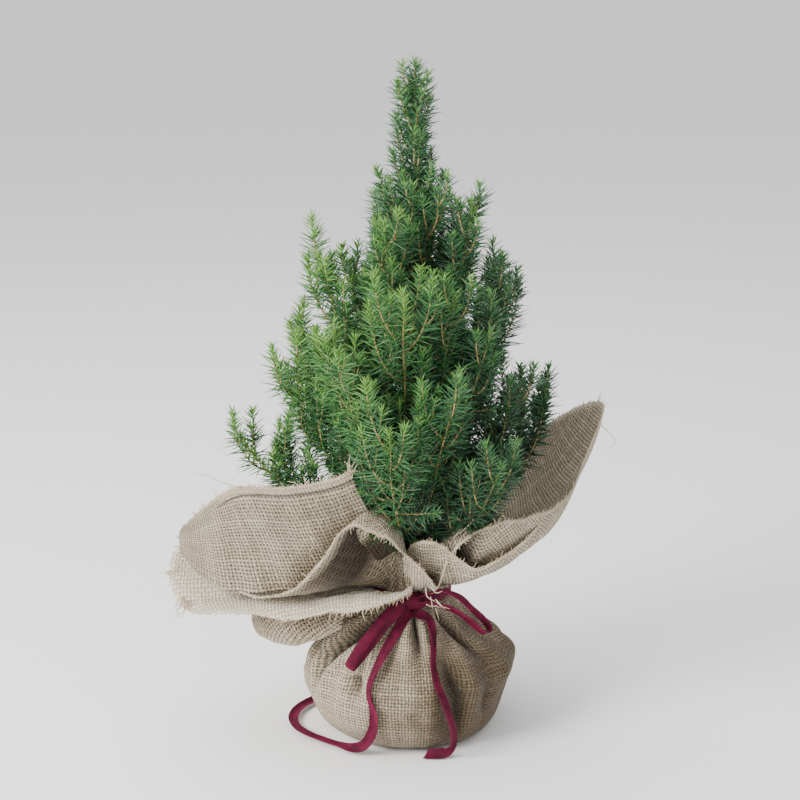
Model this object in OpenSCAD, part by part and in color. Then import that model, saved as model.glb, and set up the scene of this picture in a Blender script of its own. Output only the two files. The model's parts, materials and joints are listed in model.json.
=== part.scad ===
// Tabletop spruce: an artificial tree that stands in a weighted pot. A square of
// burlap is gathered round the pot and tied with a velvet ribbon.
// Millimetres, +Z up. The origin is on the table under the trunk; the bow faces -Y.

/* [Pot] */
// Outer width of the pot at its rim
pot_top_d = 100; // [92:1:122]
// Outer width of the pot at its foot
pot_base_d = 84; // [72:1:92]
// Height of the pot
pot_h = 60; // [52:1:74]
// Thickness of the pot's wall and floor
pot_wall = 1.6; // [1.2:0.1:3]
// How far the rim stands out from the wall
lip = 2; // [1:0.5:4]
// Depth from the rim to the top of the ballast
ballast_drop = 8; // [4:1:16]

/* [Burlap] */
// Thickness of the burlap
cloth_t = 1.6; // [1:0.1:2]
// Room between the rim and the widest part of the bag
bag_ease = 24; // [18:1:30]
// Room between the foot of the pot and the foot of the bag
foot_ease = 6; // [4:1:12]
// Height of the tied neck above the rim
neck_rise = 46; // [40:1:60]
// Width of the tied neck
neck_d = 54; // [44:1:64]
// Height of the tied neck
neck_h = 13; // [11:0.5:18]
// Width of the hole through the bunched pleats
bunch_d = 28; // [24:1:32]

/* [Ribbon] */
// Width of the ribbon
ribbon_w = 9.5; // [6:0.5:12]
// Thickness of the ribbon
ribbon_t = 0.8; // [0.6:0.1:1.2]
// Height of the band round the neck
band_h = 7; // [5:0.5:9]
// Width of the knot
knot_w = 10; // [8:0.5:14]
// Thickness of the knot
knot_d = 9; // [7:0.5:12]

/* [Trunk] */
// Height of the leader's tip above the table
tree_h = 465; // [400:5:580]
// Width of the trunk pole
pole_d = 10; // [9:0.5:12]
// How much the flat on the pole cuts away
flat_cut = 1.2; // [0.8:0.1:2]
// Thickness of the socket tube's wall
socket_wall = 2; // [1.5:0.1:3]
// Gap between the pole and its socket, on each side
socket_gap = 0.06; // [0.04:0.01:0.1]
// Thickness of the bark sleeves
bark_t = 2; // [1.5:0.1:3]
// Pole above the top collar
pole_top_len = 66; // [60:1:80]

/* [Boughs] */
// Width of the crown at its widest tier
crown_d = 250; // [220:5:300]
// Width of the wire in each bough
wire_d = 2.4; // [1.8:0.1:2.6]
// Width of the bristled core of a bough
core_d = 9; // [6:0.5:9.5]
// Width of the hinge pins
pin_d = 1.6; // [1.2:0.1:2]
// Running gap between a pin and a bough's eye, on each side
pin_gap = 0.05; // [0.03:0.01:0.1]
// Distance from the trunk's axis to each hinge pin
pin_reach = 13.5; // [13:0.5:18]
// Gap between a bough's eye and each ear of its collar
ear_gap = 0.3; // [0.2:0.05:0.5]
// Thickness of a collar's ears
ear_t = 1.5; // [1.2:0.1:2.5]
// Height of a collar
collar_h = 8; // [7:0.5:10]
// Thickness of a collar round the pole
collar_t = 3.5; // [2.5:0.5:5]

/* [Hidden] */
$fn = 48;
FIXED = ["pot", "ballast", "socket_tube", "burlap_wrap", "ribbon_band", "ribbon_knot",
    "ribbon_loop_left", "ribbon_loop_right", "ribbon_tail_left", "ribbon_tail_right",
    "trunk_pole", "bark_sleeves", "leader"];
LETTERS = "abcde";

// Each tier has its rise above the neck and its boughs. A bough has its azimuth in
// degrees, its reach as a share of the crown's radius, and its tip's rise above the tier.
TIERS = [
    [22, [[14, 0.8, 113], [95, 0.8, 85], [174, 1, 82], [215, 0.48, 64],
        [260, 0.76, 120], [308, 0.79, 88]]],
    [50, [[55, 0.72, 112], [135, 0.76, 107], [195, 0.76, 117], [239, 0.72, 132],
        [286, 0.7, 110], [342, 0.64, 104]]],
    [82, [[25, 0.62, 135], [100, 0.6, 120], [172, 0.72, 108], [218, 0.66, 114],
        [265, 0.6, 146], [317, 0.57, 116]]],
    [118, [[0, 0.5, 110], [70, 0.48, 119], [143, 0.44, 109], [197, 0.53, 124],
        [296, 0.51, 104]]],
    [158, [[40, 0.36, 109], [115, 0.36, 106], [245, 0.36, 108], [335, 0.36, 122]]],
];
// Fixed shoots round the top of the pole: azimuth, foot above the top collar, reach, rise
TOP_SHOOTS = [[185, 16, 21, 92], [10, 22, 36, 84], [70, 30, 24, 84], [140, 38, 22, 84],
    [270, 46, 22, 84], [305, 54, 28, 72]];
// The rim of the flared burlap: azimuth, distance from the axis, rise above the neck
RIM = [[0, 118, 80], [12, 139, 118], [29, 128, 102], [42, 119, 81], [57, 110, 65],
    [79, 98, 53], [99, 93, 50], [121, 93, 44], [141, 104, 36], [158, 124, 30], [170, 146, 28],
    [179, 161, 31], [187, 155, 46], [195, 142, 62], [203, 124, 77], [212, 106, 82],
    [221, 88, 86], [229, 75, 88], [236, 68, 62], [244, 67, 46], [262, 67, 34],
    [278, 67, 17], [288, 61, 38], [305, 73, 52], [326, 90, 61], [340, 103, 62]];
RIM_COLUMNS = 48;
RIM_ROWS = 7;

// Where the ribbon's loose stretches lie: x, y, z of the middle, then how far its face
// turns from the bag (0) to the table (1)
TAIL_LEFT = [[-2, -36, 94, 0.2], [-5, -38, 91, 0.4], [-10, -44.5, 85, 0.5], [-17, -55, 76, 0.3],
    [-23, -63.5, 67, 0.2], [-28, -69, 57, 0.1], [-29, -71, 47, 0], [-26, -73, 37, 0],
    [-26, -72, 26, 0], [-29, -68, 16, 0], [-34, -62, 8, 0.1], [-41, -55, 4, 0.5],
    [-49, -47, 2.5, 0.7], [-59, -38, 2.5, 0.7], [-70, -27, 2.5, 0.7], [-78, -13, 2.5, 0.7],
    [-82, 2, 2.5, 0.7], [-81, 16, 2.5, 0.7], [-75, 28, 2.5, 0.7], [-66, 38, 2.5, 0.7],
    [-55, 46, 2.5, 0.7]];
TAIL_RIGHT = [[4, -36, 94, 0.2], [9, -38, 92, 0.4], [12, -41, 90, 0.5], [14, -48, 83, 0.4],
    [14, -56, 76, 0.3], [14, -66, 66, 0.2], [17, -72, 55, 0.1], [22, -75, 43, 0],
    [26, -75, 30, 0], [28, -72, 18, 0], [27, -69, 9, 0.1], [21, -68, 4, 0.5],
    [9, -67, 2.5, 0.7]];
// The loops' routes from the middle of the knot, and which way each loop's width runs
LOOP_LEFT = [[-5, -5, 0], [-15, -11, -5], [-25, -19, -14], [-35, -26, -25], [-41, -30, -34],
    [-43, -29, -38], [-41, -26, -39], [-33, -26, -31], [-23, -22, -19], [-14, -15, -9],
    [-5, -7, -2]];
LOOP_LEFT_WIDTH = [0.77, 0, -0.64];
LOOP_RIGHT = [[5, -4, 4], [11, -5, 7], [19, -5, 9], [30, -3, 5], [39, 0, -4], [47, 3, -13],
    [53, 5, -21], [54, 4, -24], [50, 0, -24], [40, -2, -14], [27, -5, -4], [15, -7, 0],
    [5, -6, 0]];
LOOP_RIGHT_WIDTH = [0.48, -0.7, 0.5];

pot_base_r = pot_base_d / 2;
pot_wall_top_r = pot_top_d / 2 - lip;
rim_z = cloth_t + pot_h;
ballast_z = rim_z - ballast_drop;
lip_h = 5;

foot_r = pot_base_r + foot_ease;
bag_r = pot_top_d / 2 + bag_ease;
widest_z = cloth_t + pot_h * 0.6;
neck_r = neck_d / 2;
neck_z = rim_z + neck_rise;
neck_top = neck_z + 3;
neck_low = neck_top - neck_h;
band_r = neck_r + ribbon_t;
band_low = neck_low + 1;
knot_z = band_low + band_h / 2;
knot_y = -band_r - knot_d / 2;
pleat_root = 2;

pole_r = pole_d / 2;
socket_r = pole_r + socket_gap + socket_wall;
socket_floor = 2;
socket_lift = 6;
socket_bottom = cloth_t + pot_wall + socket_lift;
socket_top = ballast_z + 4;
pole_bottom = socket_bottom + socket_floor;
top_tier = len(TIERS) - 1;
pole_top = tier_z(top_tier) + pole_top_len;
flat_margin = 1;

wire_r = wire_d / 2;
core_r = core_d / 2;
pin_r = pin_d / 2;
eye_r = pin_r + 1.2;
eye_w = wire_d;
ear_w = eye_w + 2 * ear_gap + 2 * ear_t;
ear_reach = pin_reach + eye_r + 0.7;
collar_r = pole_r + collar_t;
peg_r = wire_r;
peg_depth = 3;
leader_peg = 12;
// How far along a bough each knuckle of its core stands, and the core's width there
CORE = [[0.2, 0.6], [0.4, 1], [0.62, 1], [0.83, 0.85], [1, 0.5]];
knuckle = 0.15;

function bough_name(t, i) = str("bough_", LETTERS[t], i + 1);
function tier_z(t) = neck_z + TIERS[t][0];
function mix(a, b, t) = a + (b - a) * t;
function curve2(p, q, r, t) = mix(mix(p, q, t), mix(q, r, t), t);
function curve3(p, q, r, s, t) = mix(curve2(p, q, r, t), curve2(q, r, s, t), t);
function unit(v) = v / norm(v);
function pot_r(z) = mix(pot_base_r, pot_wall_top_r, z / pot_h);

// A bough leaves its hinge low and turns up towards its tip, in its own upright plane
function stem(foot, tip, t) =
    curve2(foot, [mix(foot[0], tip[0], 0.75), mix(foot[1], tip[1], 0.35)], tip, t);

// The bag's outline: out from the foot to the widest part, then in to the neck
BAG_SIDE = concat(
    [for (i = [0:7]) curve3([foot_r, 0], [foot_r + 15, 1], [bag_r, widest_z - 24],
        [bag_r, widest_z], i / 8)],
    [for (i = [0:12]) curve3([bag_r, widest_z], [bag_r, rim_z],
        [neck_r + 19, neck_low - 15], [neck_r, neck_low], i / 12)]);
function side_normal(i) =
    let (a = BAG_SIDE[max(i - 1, 0)], b = BAG_SIDE[min(i + 1, len(BAG_SIDE) - 1)])
    unit([b[1] - a[1], a[0] - b[0]]);

// The rim's distance and rise at an azimuth, on a smooth closed curve through RIM
function rim_at(az, i = 0) =
    let (n = len(RIM), p = RIM[i], far = i == n - 1, q = RIM[(i + 1) % n],
        q_az = far ? 360 : q[0])
    az <= q_az || far ? let (s = (az - p[0]) / (q_az - p[0]), ease = s * s * (3 - 2 * s))
        [mix(p[1], q[1], ease), mix(p[2], q[2], ease)] : rim_at(az, i + 1);

// One row of the flare, k = 0 at the neck and 1 at the rim, in the azimuth's own plane
function flare_at(az, k) =
    let (rim = rim_at(az), low = [neck_r - 3, neck_top - pleat_root],
        out = [rim[0], neck_z + rim[1]])
    curve2(low, [neck_r + 4, neck_top + 7 + rim[1] * 0.1], out, k);
function flare_normal(az, k) =
    let (a = flare_at(az, max(k - 0.05, 0)), b = flare_at(az, min(k + 0.05, 1)))
    unit([a[1] - b[1], b[0] - a[0]]);
function flare_point(az, k, side) =
    let (p = flare_at(az, k) + flare_normal(az, k) * side)
    [p[0] * cos(az), p[0] * sin(az), p[1]];

module flare() {
    n = RIM_COLUMNS;
    m = RIM_ROWS;
    function az(c) = 360 * (c % n) / n;
    under = [for (r = [0:m], c = [0:n - 1]) flare_point(az(c), r / m, 0)];
    over = [for (r = [0:m], c = [0:n - 1]) flare_point(az(c), r / m, cloth_t)];
    function o(r, c) = r * n + c % n;
    function u(r, c) = (m + 1) * n + o(r, c);
    polyhedron(concat(over, under), concat(
        [for (r = [0:m - 1], c = [0:n - 1]) each [[o(r, c), o(r, c + 1), o(r + 1, c + 1)],
            [o(r, c), o(r + 1, c + 1), o(r + 1, c)]]],
        [for (r = [0:m - 1], c = [0:n - 1]) each [[u(r, c), u(r + 1, c + 1), u(r, c + 1)],
            [u(r, c), u(r + 1, c), u(r + 1, c + 1)]]],
        [for (c = [0:n - 1]) each [[o(0, c), u(0, c + 1), o(0, c + 1)],
            [o(0, c), u(0, c), u(0, c + 1)]]],
        [for (c = [0:n - 1]) each [[o(m, c), o(m, c + 1), u(m, c + 1)],
            [o(m, c), u(m, c + 1), u(m, c)]]]));
}

module burlap_wrap() {
    last = len(BAG_SIDE) - 1;
    inner = [for (i = [last:-1:1]) BAG_SIDE[i] - side_normal(i) * cloth_t];
    color("tan") {
        rotate_extrude() polygon(concat([[0, 0]], BAG_SIDE,
            [[neck_r, neck_top], [bunch_d / 2, neck_top], [bunch_d / 2, neck_low - 2]],
            inner, [[foot_r - cloth_t, cloth_t], [0, cloth_t]]));
        flare();
    }
}

module pot() {
    color("saddlebrown") translate([0, 0, cloth_t]) rotate_extrude() polygon([
        [0, 0], [pot_base_r, 0], [pot_r(pot_h - lip_h), pot_h - lip_h],
        [pot_top_d / 2, pot_h - lip_h], [pot_top_d / 2, pot_h],
        [pot_r(pot_h) - pot_wall, pot_h], [pot_r(pot_wall) - pot_wall, pot_wall],
        [0, pot_wall]]);
}

module ballast() {
    top = pot_h - ballast_drop;
    color("gray") difference() {
        translate([0, 0, cloth_t]) rotate_extrude() polygon([[0, pot_wall],
            [pot_r(pot_wall) - pot_wall, pot_wall], [pot_r(top) - pot_wall, top], [0, top]]);
        translate([0, 0, socket_bottom]) cylinder(h = pot_h, r = socket_r);
    }
}

// A round bar with a flat along its +X side
module flatted_bar(r, flat_x, h) {
    intersection() {
        cylinder(h = h, r = r);
        translate([flat_x - 4 * r, -2 * r, 0]) cube([4 * r, 4 * r, h]);
    }
}

module socket_tube() {
    color("dimgray") translate([0, 0, socket_bottom]) difference() {
        cylinder(h = socket_top - socket_bottom, r = socket_r);
        translate([0, 0, socket_floor])
            flatted_bar(pole_r + socket_gap, pole_r - flat_cut + socket_gap, pot_h);
    }
}

module trunk_pole() {
    keyed = socket_top + flat_margin - pole_bottom;
    color("peru") difference() {
        union() {
            translate([0, 0, pole_bottom]) flatted_bar(pole_r, pole_r - flat_cut, keyed);
            translate([0, 0, pole_bottom + keyed])
                cylinder(h = pole_top - pole_bottom - keyed, r = pole_r);
        }
        translate([0, 0, pole_top - leader_peg]) cylinder(h = leader_peg + 1, r = peg_r);
        for (s = TOP_SHOOTS) rotate(s[0])
            translate([pole_r - peg_depth, 0, tier_z(top_tier) + s[1]])
                rotate([0, 90, 0]) cylinder(h = peg_depth + 1, r = peg_r);
    }
}

module bark_sleeves() {
    foot = [for (t = [-1:top_tier]) t < 0 ? neck_top + 1 : tier_z(t) + collar_h / 2];
    head = [for (t = [0:top_tier + 1]) t > top_tier ? tier_z(top_tier) + collar_h / 2 + 7
        : tier_z(t) - collar_h / 2];
    color("saddlebrown") for (i = [0:len(foot) - 1]) translate([0, 0, foot[i]])
        difference() {
            cylinder(h = head[i] - foot[i], r = pole_r + bark_t);
            translate([0, 0, -1]) cylinder(h = head[i] - foot[i] + 2, r = pole_r);
        }
}

// A collar's own ears take the pins; each pair has a floor that its bough rests over
module collar(t) {
    color("dimgray") translate([0, 0, tier_z(t)]) difference() {
        translate([0, 0, -collar_h / 2]) linear_extrude(collar_h) difference() {
            union() {
                circle(r = collar_r);
                for (b = TIERS[t][1]) rotate(b[0])
                    translate([pole_r + 1, -ear_w / 2])
                        square([ear_reach - pole_r - 1, ear_w]);
            }
            circle(r = pole_r);
        }
        for (b = TIERS[t][1]) rotate(b[0]) {
            translate([pin_reach - eye_r - 0.6, -eye_w / 2 - ear_gap, -eye_r - ear_gap])
                cube([ear_reach, eye_w + 2 * ear_gap, collar_h]);
            translate([pin_reach, ear_w / 2 + 1, 0]) rotate([90, 0, 0])
                cylinder(h = ear_w + 2, r = pin_r);
        }
    }
}

module hinge_pins(t) {
    color("silver") translate([0, 0, tier_z(t)]) for (b = TIERS[t][1]) rotate(b[0])
        translate([pin_reach, ear_w / 2, 0]) rotate([90, 0, 0])
            cylinder(h = ear_w, r = pin_r);
}

// A tapered bar between two points [x, z] of the XZ plane, with a round knuckle at its end
module taper(a, b, ra, rb) {
    d = b - a;
    translate([a[0], 0, a[1]]) rotate([0, atan2(d[0], d[1]), 0])
        cylinder(h = norm(d), r1 = ra, r2 = rb);
    translate([b[0], 0, b[1]]) sphere(r = rb + knuckle);
}

// The bristled core along a stem from foot to tip, both [x, z]
module core(foot, tip) {
    for (i = [0:len(CORE) - 2])
        taper(stem(foot, tip, CORE[i][0]), stem(foot, tip, CORE[i + 1][0]),
            core_r * CORE[i][1], core_r * CORE[i + 1][1]);
}

module bough(t, i) {
    b = TIERS[t][1][i];
    foot = [pin_reach, tier_z(t)];
    tip = [crown_d / 2 * b[1], tier_z(t) + b[2]];
    color("darkgreen") rotate(b[0]) difference() {
        union() {
            translate([foot[0], eye_w / 2, foot[1]]) rotate([90, 0, 0])
                cylinder(h = eye_w, r = eye_r);
            taper(foot, stem(foot, tip, CORE[0][0]), wire_r, wire_r);
            core(foot, tip);
        }
        translate([foot[0], eye_w, foot[1]]) rotate([90, 0, 0])
            cylinder(h = 2 * eye_w, r = pin_r + pin_gap);
    }
}

module top_shoot(i) {
    s = TOP_SHOOTS[i];
    z = tier_z(top_tier) + s[1];
    foot = [pole_r + peg_depth, z];
    tip = [s[2], z + s[3]];
    color("darkgreen") rotate(s[0]) {
        translate([pole_r - peg_depth, 0, z]) rotate([0, 90, 0])
            cylinder(h = 2 * peg_depth, r = peg_r);
        translate([foot[0], 0, foot[1]]) sphere(r = wire_r + knuckle);
        taper(foot, stem(foot, tip, CORE[0][0]), wire_r, wire_r);
        core(foot, tip);
    }
}

module leader() {
    reach = tree_h - pole_top;
    color("green") translate([0, 0, pole_top]) {
        translate([0, 0, -leader_peg]) cylinder(h = leader_peg + 1, r = peg_r);
        cylinder(h = reach * 0.45, r1 = core_r * 0.9, r2 = core_r);
        translate([0, 0, reach * 0.45]) cylinder(h = reach * 0.55, r1 = core_r, r2 = 1);
    }
}

// A flat strip along route points. A tail's face follows its points' lean; a loop's
// width runs one way all along.
module strip(route, width = undef) {
    n = len(route) - 1;
    function at(i) = [for (k = [0:2]) route[i][k]];
    function along(i) = unit(at(min(i + 1, n)) - at(max(i - 1, 0)));
    function face(i) = let (p = route[i])
        unit(mix(unit([p[0], p[1], 0]), [0, 0, 1], p[3]));
    function across(i) = let (d = along(i))
        unit(is_undef(width) ? cross(d, face(i)) : width - d * (width * d)) * ribbon_w / 2;
    function out(i) = unit(cross(across(i), along(i))) * ribbon_t / 2;
    rings = [for (i = [0:n]) each [at(i) + across(i) + out(i), at(i) - across(i) + out(i),
        at(i) - across(i) - out(i), at(i) + across(i) - out(i)]];
    polyhedron(rings, concat(
        [[0, 2, 1], [0, 3, 2]],
        [for (i = [0:n - 1], k = [0:3]) let (a = 4 * i + k, b = 4 * i + (k + 1) % 4)
            each [[a, b, b + 4], [a, b + 4, a + 4]]],
        [[4 * n, 4 * n + 1, 4 * n + 2], [4 * n, 4 * n + 2, 4 * n + 3]]));
}

module ribbon_band() {
    color("darkred") translate([0, 0, band_low]) difference() {
        cylinder(h = band_h, r = band_r);
        translate([0, 0, -1]) cylinder(h = band_h + 2, r = neck_r);
    }
}

module ribbon_knot() {
    color("maroon") difference() {
        translate([-knot_w / 2, knot_y, knot_z]) rotate([0, 90, 0])
            cylinder(h = knot_w, r = knot_d / 2);
        cylinder(h = 2 * neck_z, r = band_r);
    }
}

module ribbon_tail(route) { color("darkred") strip(route); }

module ribbon_loop(route, width) {
    color("darkred") translate([0, knot_y, knot_z]) strip(route, width);
}

pot();
ballast();
socket_tube();
burlap_wrap();
ribbon_band();
ribbon_knot();
ribbon_loop(LOOP_LEFT, LOOP_LEFT_WIDTH);  // ribbon_loop_left
ribbon_loop(LOOP_RIGHT, LOOP_RIGHT_WIDTH);  // ribbon_loop_right
ribbon_tail(TAIL_LEFT);  // ribbon_tail_left
ribbon_tail(TAIL_RIGHT);  // ribbon_tail_right
trunk_pole();
bark_sleeves();
leader();
for (i = [0:len(TOP_SHOOTS) - 1])
    top_shoot(i);
for (t = [0:top_tier]) {
    collar(t);
    hinge_pins(t);
    for (i = [0:len(TIERS[t][1]) - 1])
        bough(t, i);
}
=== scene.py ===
"""A small spruce in a burlap wrap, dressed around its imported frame. Metres throughout."""
import json
import math

import bmesh
import bpy
import numpy as np
from mathutils import Matrix, Vector, noise


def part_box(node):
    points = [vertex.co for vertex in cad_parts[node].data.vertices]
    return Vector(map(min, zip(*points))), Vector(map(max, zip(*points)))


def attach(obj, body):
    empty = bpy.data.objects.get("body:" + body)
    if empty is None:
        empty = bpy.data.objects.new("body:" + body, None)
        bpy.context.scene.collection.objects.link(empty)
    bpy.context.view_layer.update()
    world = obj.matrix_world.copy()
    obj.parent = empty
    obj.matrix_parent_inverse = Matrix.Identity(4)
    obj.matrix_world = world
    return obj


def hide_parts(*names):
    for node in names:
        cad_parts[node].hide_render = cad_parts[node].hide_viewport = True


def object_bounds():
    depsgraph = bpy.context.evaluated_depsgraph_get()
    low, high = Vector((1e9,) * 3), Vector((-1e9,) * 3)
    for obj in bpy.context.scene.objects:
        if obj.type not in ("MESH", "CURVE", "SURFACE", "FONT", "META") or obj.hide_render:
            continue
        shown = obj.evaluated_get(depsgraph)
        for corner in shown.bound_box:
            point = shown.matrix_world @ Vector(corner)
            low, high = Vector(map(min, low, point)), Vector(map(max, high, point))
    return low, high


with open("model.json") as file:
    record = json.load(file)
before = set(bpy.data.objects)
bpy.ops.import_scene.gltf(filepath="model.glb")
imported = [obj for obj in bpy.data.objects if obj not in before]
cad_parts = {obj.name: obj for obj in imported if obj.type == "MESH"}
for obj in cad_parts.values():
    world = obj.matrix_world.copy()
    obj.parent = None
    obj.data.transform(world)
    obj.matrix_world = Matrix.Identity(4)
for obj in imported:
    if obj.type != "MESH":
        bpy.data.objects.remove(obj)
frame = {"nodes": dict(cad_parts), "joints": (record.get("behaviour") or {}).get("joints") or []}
cad_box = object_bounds()
MM = 0.001
SIZES = {name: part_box(name) for name in frame["nodes"]}
NECK_Z = (SIZES["ribbon_band"][0].z + SIZES["ribbon_band"][1].z) / 2 / MM + 5.5
FOOT_Z = SIZES["burlap_wrap"][0].z / MM


# ---------------------------------------------------------------- camera
def set_camera():
    """The view from the front, a little above."""
    aim = Vector((-0.0083, 0, 0.237))
    rise, distance = math.radians(15), 1.227
    data = bpy.data.cameras.new("view")
    data.lens, data.sensor_width = 80, 36
    camera = bpy.data.objects.new("view", data)
    camera.location = aim + distance * Vector((0, -math.cos(rise), math.sin(rise)))
    camera.rotation_euler = (aim - camera.location).to_track_quat("-Z", "Y").to_euler()
    bpy.context.scene.collection.objects.link(camera)
    bpy.context.scene.camera = camera


set_camera()


# ---------------------------------------------------------------- shape helpers
def unit(v):
    """Rows of v at length 1."""
    v = np.asarray(v, float)
    return v / np.maximum(np.linalg.norm(v, axis=-1, keepdims=True), 1e-9)


def curve_through(points, count, closed=False):
    """A smooth line through the points, in `count` even steps."""
    p = np.asarray(points, float)
    if closed:
        p = np.vstack([p[-1], p, p[0], p[1]])
    else:
        p = np.vstack([2 * p[0] - p[1], p, 2 * p[-1] - p[-2]])
    line = []
    for a, b, c, d in zip(p[:-3], p[1:-2], p[2:-1], p[3:]):
        t = np.linspace(0, 1, 24, endpoint=False)[:, None]
        line.append(0.5 * (2 * b + (c - a) * t + (2 * a - 5 * b + 4 * c - d) * t ** 2
                           + (3 * b - a - 3 * c + d) * t ** 3))
    line = np.vstack(line + [p[-2:-1]])
    run = np.concatenate([[0], np.cumsum(np.linalg.norm(np.diff(line[:, :3], axis=0), axis=1))])
    at = np.linspace(0, run[-1], count, endpoint=not closed)
    return np.stack([np.interp(at, run, line[:, k]) for k in range(line.shape[1])], axis=1)


def bezier(t, *points):
    """The Bezier curve of the given control values at t."""
    n = len(points) - 1
    return sum(math.comb(n, k) * t ** k * (1 - t) ** (n - k) * p for k, p in enumerate(points))


def add_object(name, mesh):
    obj = bpy.data.objects.new(name, mesh)
    bpy.context.scene.collection.objects.link(obj)
    return obj


def mesh_from(name, points, faces, smooth=True, scale=MM):
    mesh = bpy.data.meshes.new(name)
    mesh.from_pydata([tuple(float(x) * scale for x in p) for p in points], [], faces)
    mesh.update()
    if smooth:
        mesh.polygons.foreach_set("use_smooth", [True] * len(mesh.polygons))
    return mesh


def make_plain(obj):
    """The modifiers' result as a plain mesh in place of the object."""
    bpy.context.view_layer.update()
    evaluated = obj.evaluated_get(bpy.context.evaluated_depsgraph_get())
    mesh = bpy.data.meshes.new_from_object(evaluated, preserve_all_data_layers=True,
                                           depsgraph=bpy.context.evaluated_depsgraph_get())
    name = obj.name
    bpy.data.objects.remove(obj)
    mesh.name = name
    return add_object(name, mesh)


def rough(point, scale, seed=0.0):
    """Smooth noise from -1 to 1."""
    return noise.noise(Vector(point) * scale + Vector((seed, seed * 1.7, -seed)))


# ---------------------------------------------------------------- node helpers
def put(tree, kind, inputs=None, **settings):
    """A node with its settings, and its inputs set or linked by name or number."""
    made = tree.nodes.new(kind)
    for key, value in settings.items():
        setattr(made, key, value)
    for key, value in (inputs or {}).items():
        socket = made.inputs[key]
        if isinstance(value, bpy.types.NodeSocket):
            tree.links.new(value, socket)
        else:
            socket.default_value = value
    return made


def calc(tree, operation, a, b=0.0, c=0.0, clamp=False):
    return put(tree, "ShaderNodeMath", {0: a, 1: b, 2: c}, operation=operation, use_clamp=clamp).outputs[0]


def vector(tree, operation, a, b=(0, 0, 0)):
    made = put(tree, "ShaderNodeVectorMath", {0: a}, operation=operation)
    slot = 3 if operation == "SCALE" else 1
    if isinstance(b, bpy.types.NodeSocket):
        tree.links.new(b, made.inputs[slot])
    else:
        made.inputs[slot].default_value = b
    return made.outputs[0]


def step(tree, value, low, high, out_low=0.0, out_high=1.0):
    """A smooth step of value from low to high."""
    return put(tree, "ShaderNodeMapRange", {"Value": value, "From Min": low, "From Max": high,
                                            "To Min": out_low, "To Max": out_high},
               interpolation_type="SMOOTHSTEP").outputs[0]


def blend_colour(tree, factor, a, b, kind="MIX"):
    return put(tree, "ShaderNodeMix", {0: factor, 6: a, 7: b}, data_type="RGBA", blend_type=kind).outputs[2]


def speckle(tree, where, scale, detail=3.0, roughness=0.55, stretch=0.0):
    return put(tree, "ShaderNodeTexNoise", {"Vector": where, "Scale": scale, "Detail": detail,
                                            "Roughness": roughness, "Distortion": stretch}).outputs[0]


def group(name, inputs, outputs):
    """An empty shader group with named sockets, and its two ends."""
    tree = bpy.data.node_groups.new(name, "ShaderNodeTree")
    for label, kind, value in inputs:
        socket = tree.interface.new_socket(label, in_out="INPUT", socket_type=kind)
        if value is not None:
            socket.default_value = value
    for label, kind in outputs:
        tree.interface.new_socket(label, in_out="OUTPUT", socket_type=kind)
    return tree, tree.nodes.new("NodeGroupInput").outputs, tree.nodes.new("NodeGroupOutput").inputs


def material(name, roughness=0.6, **constants):
    """A material with its Principled shader, constants set on their own sockets."""
    made = bpy.data.materials.new(name)
    made.use_nodes = True
    tree = made.node_tree
    shader = tree.nodes["Principled BSDF"]
    shader.inputs["Roughness"].default_value = roughness
    for key, value in constants.items():
        shader.inputs[key.replace("_", " ")].default_value = value
    return made, tree, shader


def bump(tree, shader, height, distance, strength=1.0):
    made = put(tree, "ShaderNodeBump", {"Height": height, "Distance": distance, "Strength": strength})
    tree.links.new(made.outputs[0], shader.inputs["Normal"])


def object_place(tree):
    return tree.nodes.new("ShaderNodeTexCoord").outputs["Object"]


def attribute(tree, name):
    return put(tree, "ShaderNodeAttribute", attribute_name=name).outputs["Fac"]


# ---------------------------------------------------------------- shared effects
def grain_group():
    """Uneven colour and fine tooth for moulded, cut and cast parts."""
    tree, start, end = group("grain", [("Place", "NodeSocketVector", None),
                                       ("Scale", "NodeSocketFloat", 300.0),
                                       ("Dark", "NodeSocketColor", (0.1, 0.1, 0.1, 1)),
                                       ("Light", "NodeSocketColor", (0.3, 0.3, 0.3, 1))],
                             [("Colour", "NodeSocketColor"), ("Height", "NodeSocketFloat")])
    fine = speckle(tree, start["Place"], start["Scale"], 5)
    broad = speckle(tree, start["Place"], 35.0, 3)
    mask = calc(tree, "ADD", calc(tree, "MULTIPLY", fine, 0.5), calc(tree, "MULTIPLY", broad, 0.5),
                clamp=True)
    tree.links.new(blend_colour(tree, step(tree, mask, 0.3, 0.7), start["Dark"], start["Light"]),
                   end["Colour"])
    tree.links.new(fine, end["Height"])
    return tree


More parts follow.
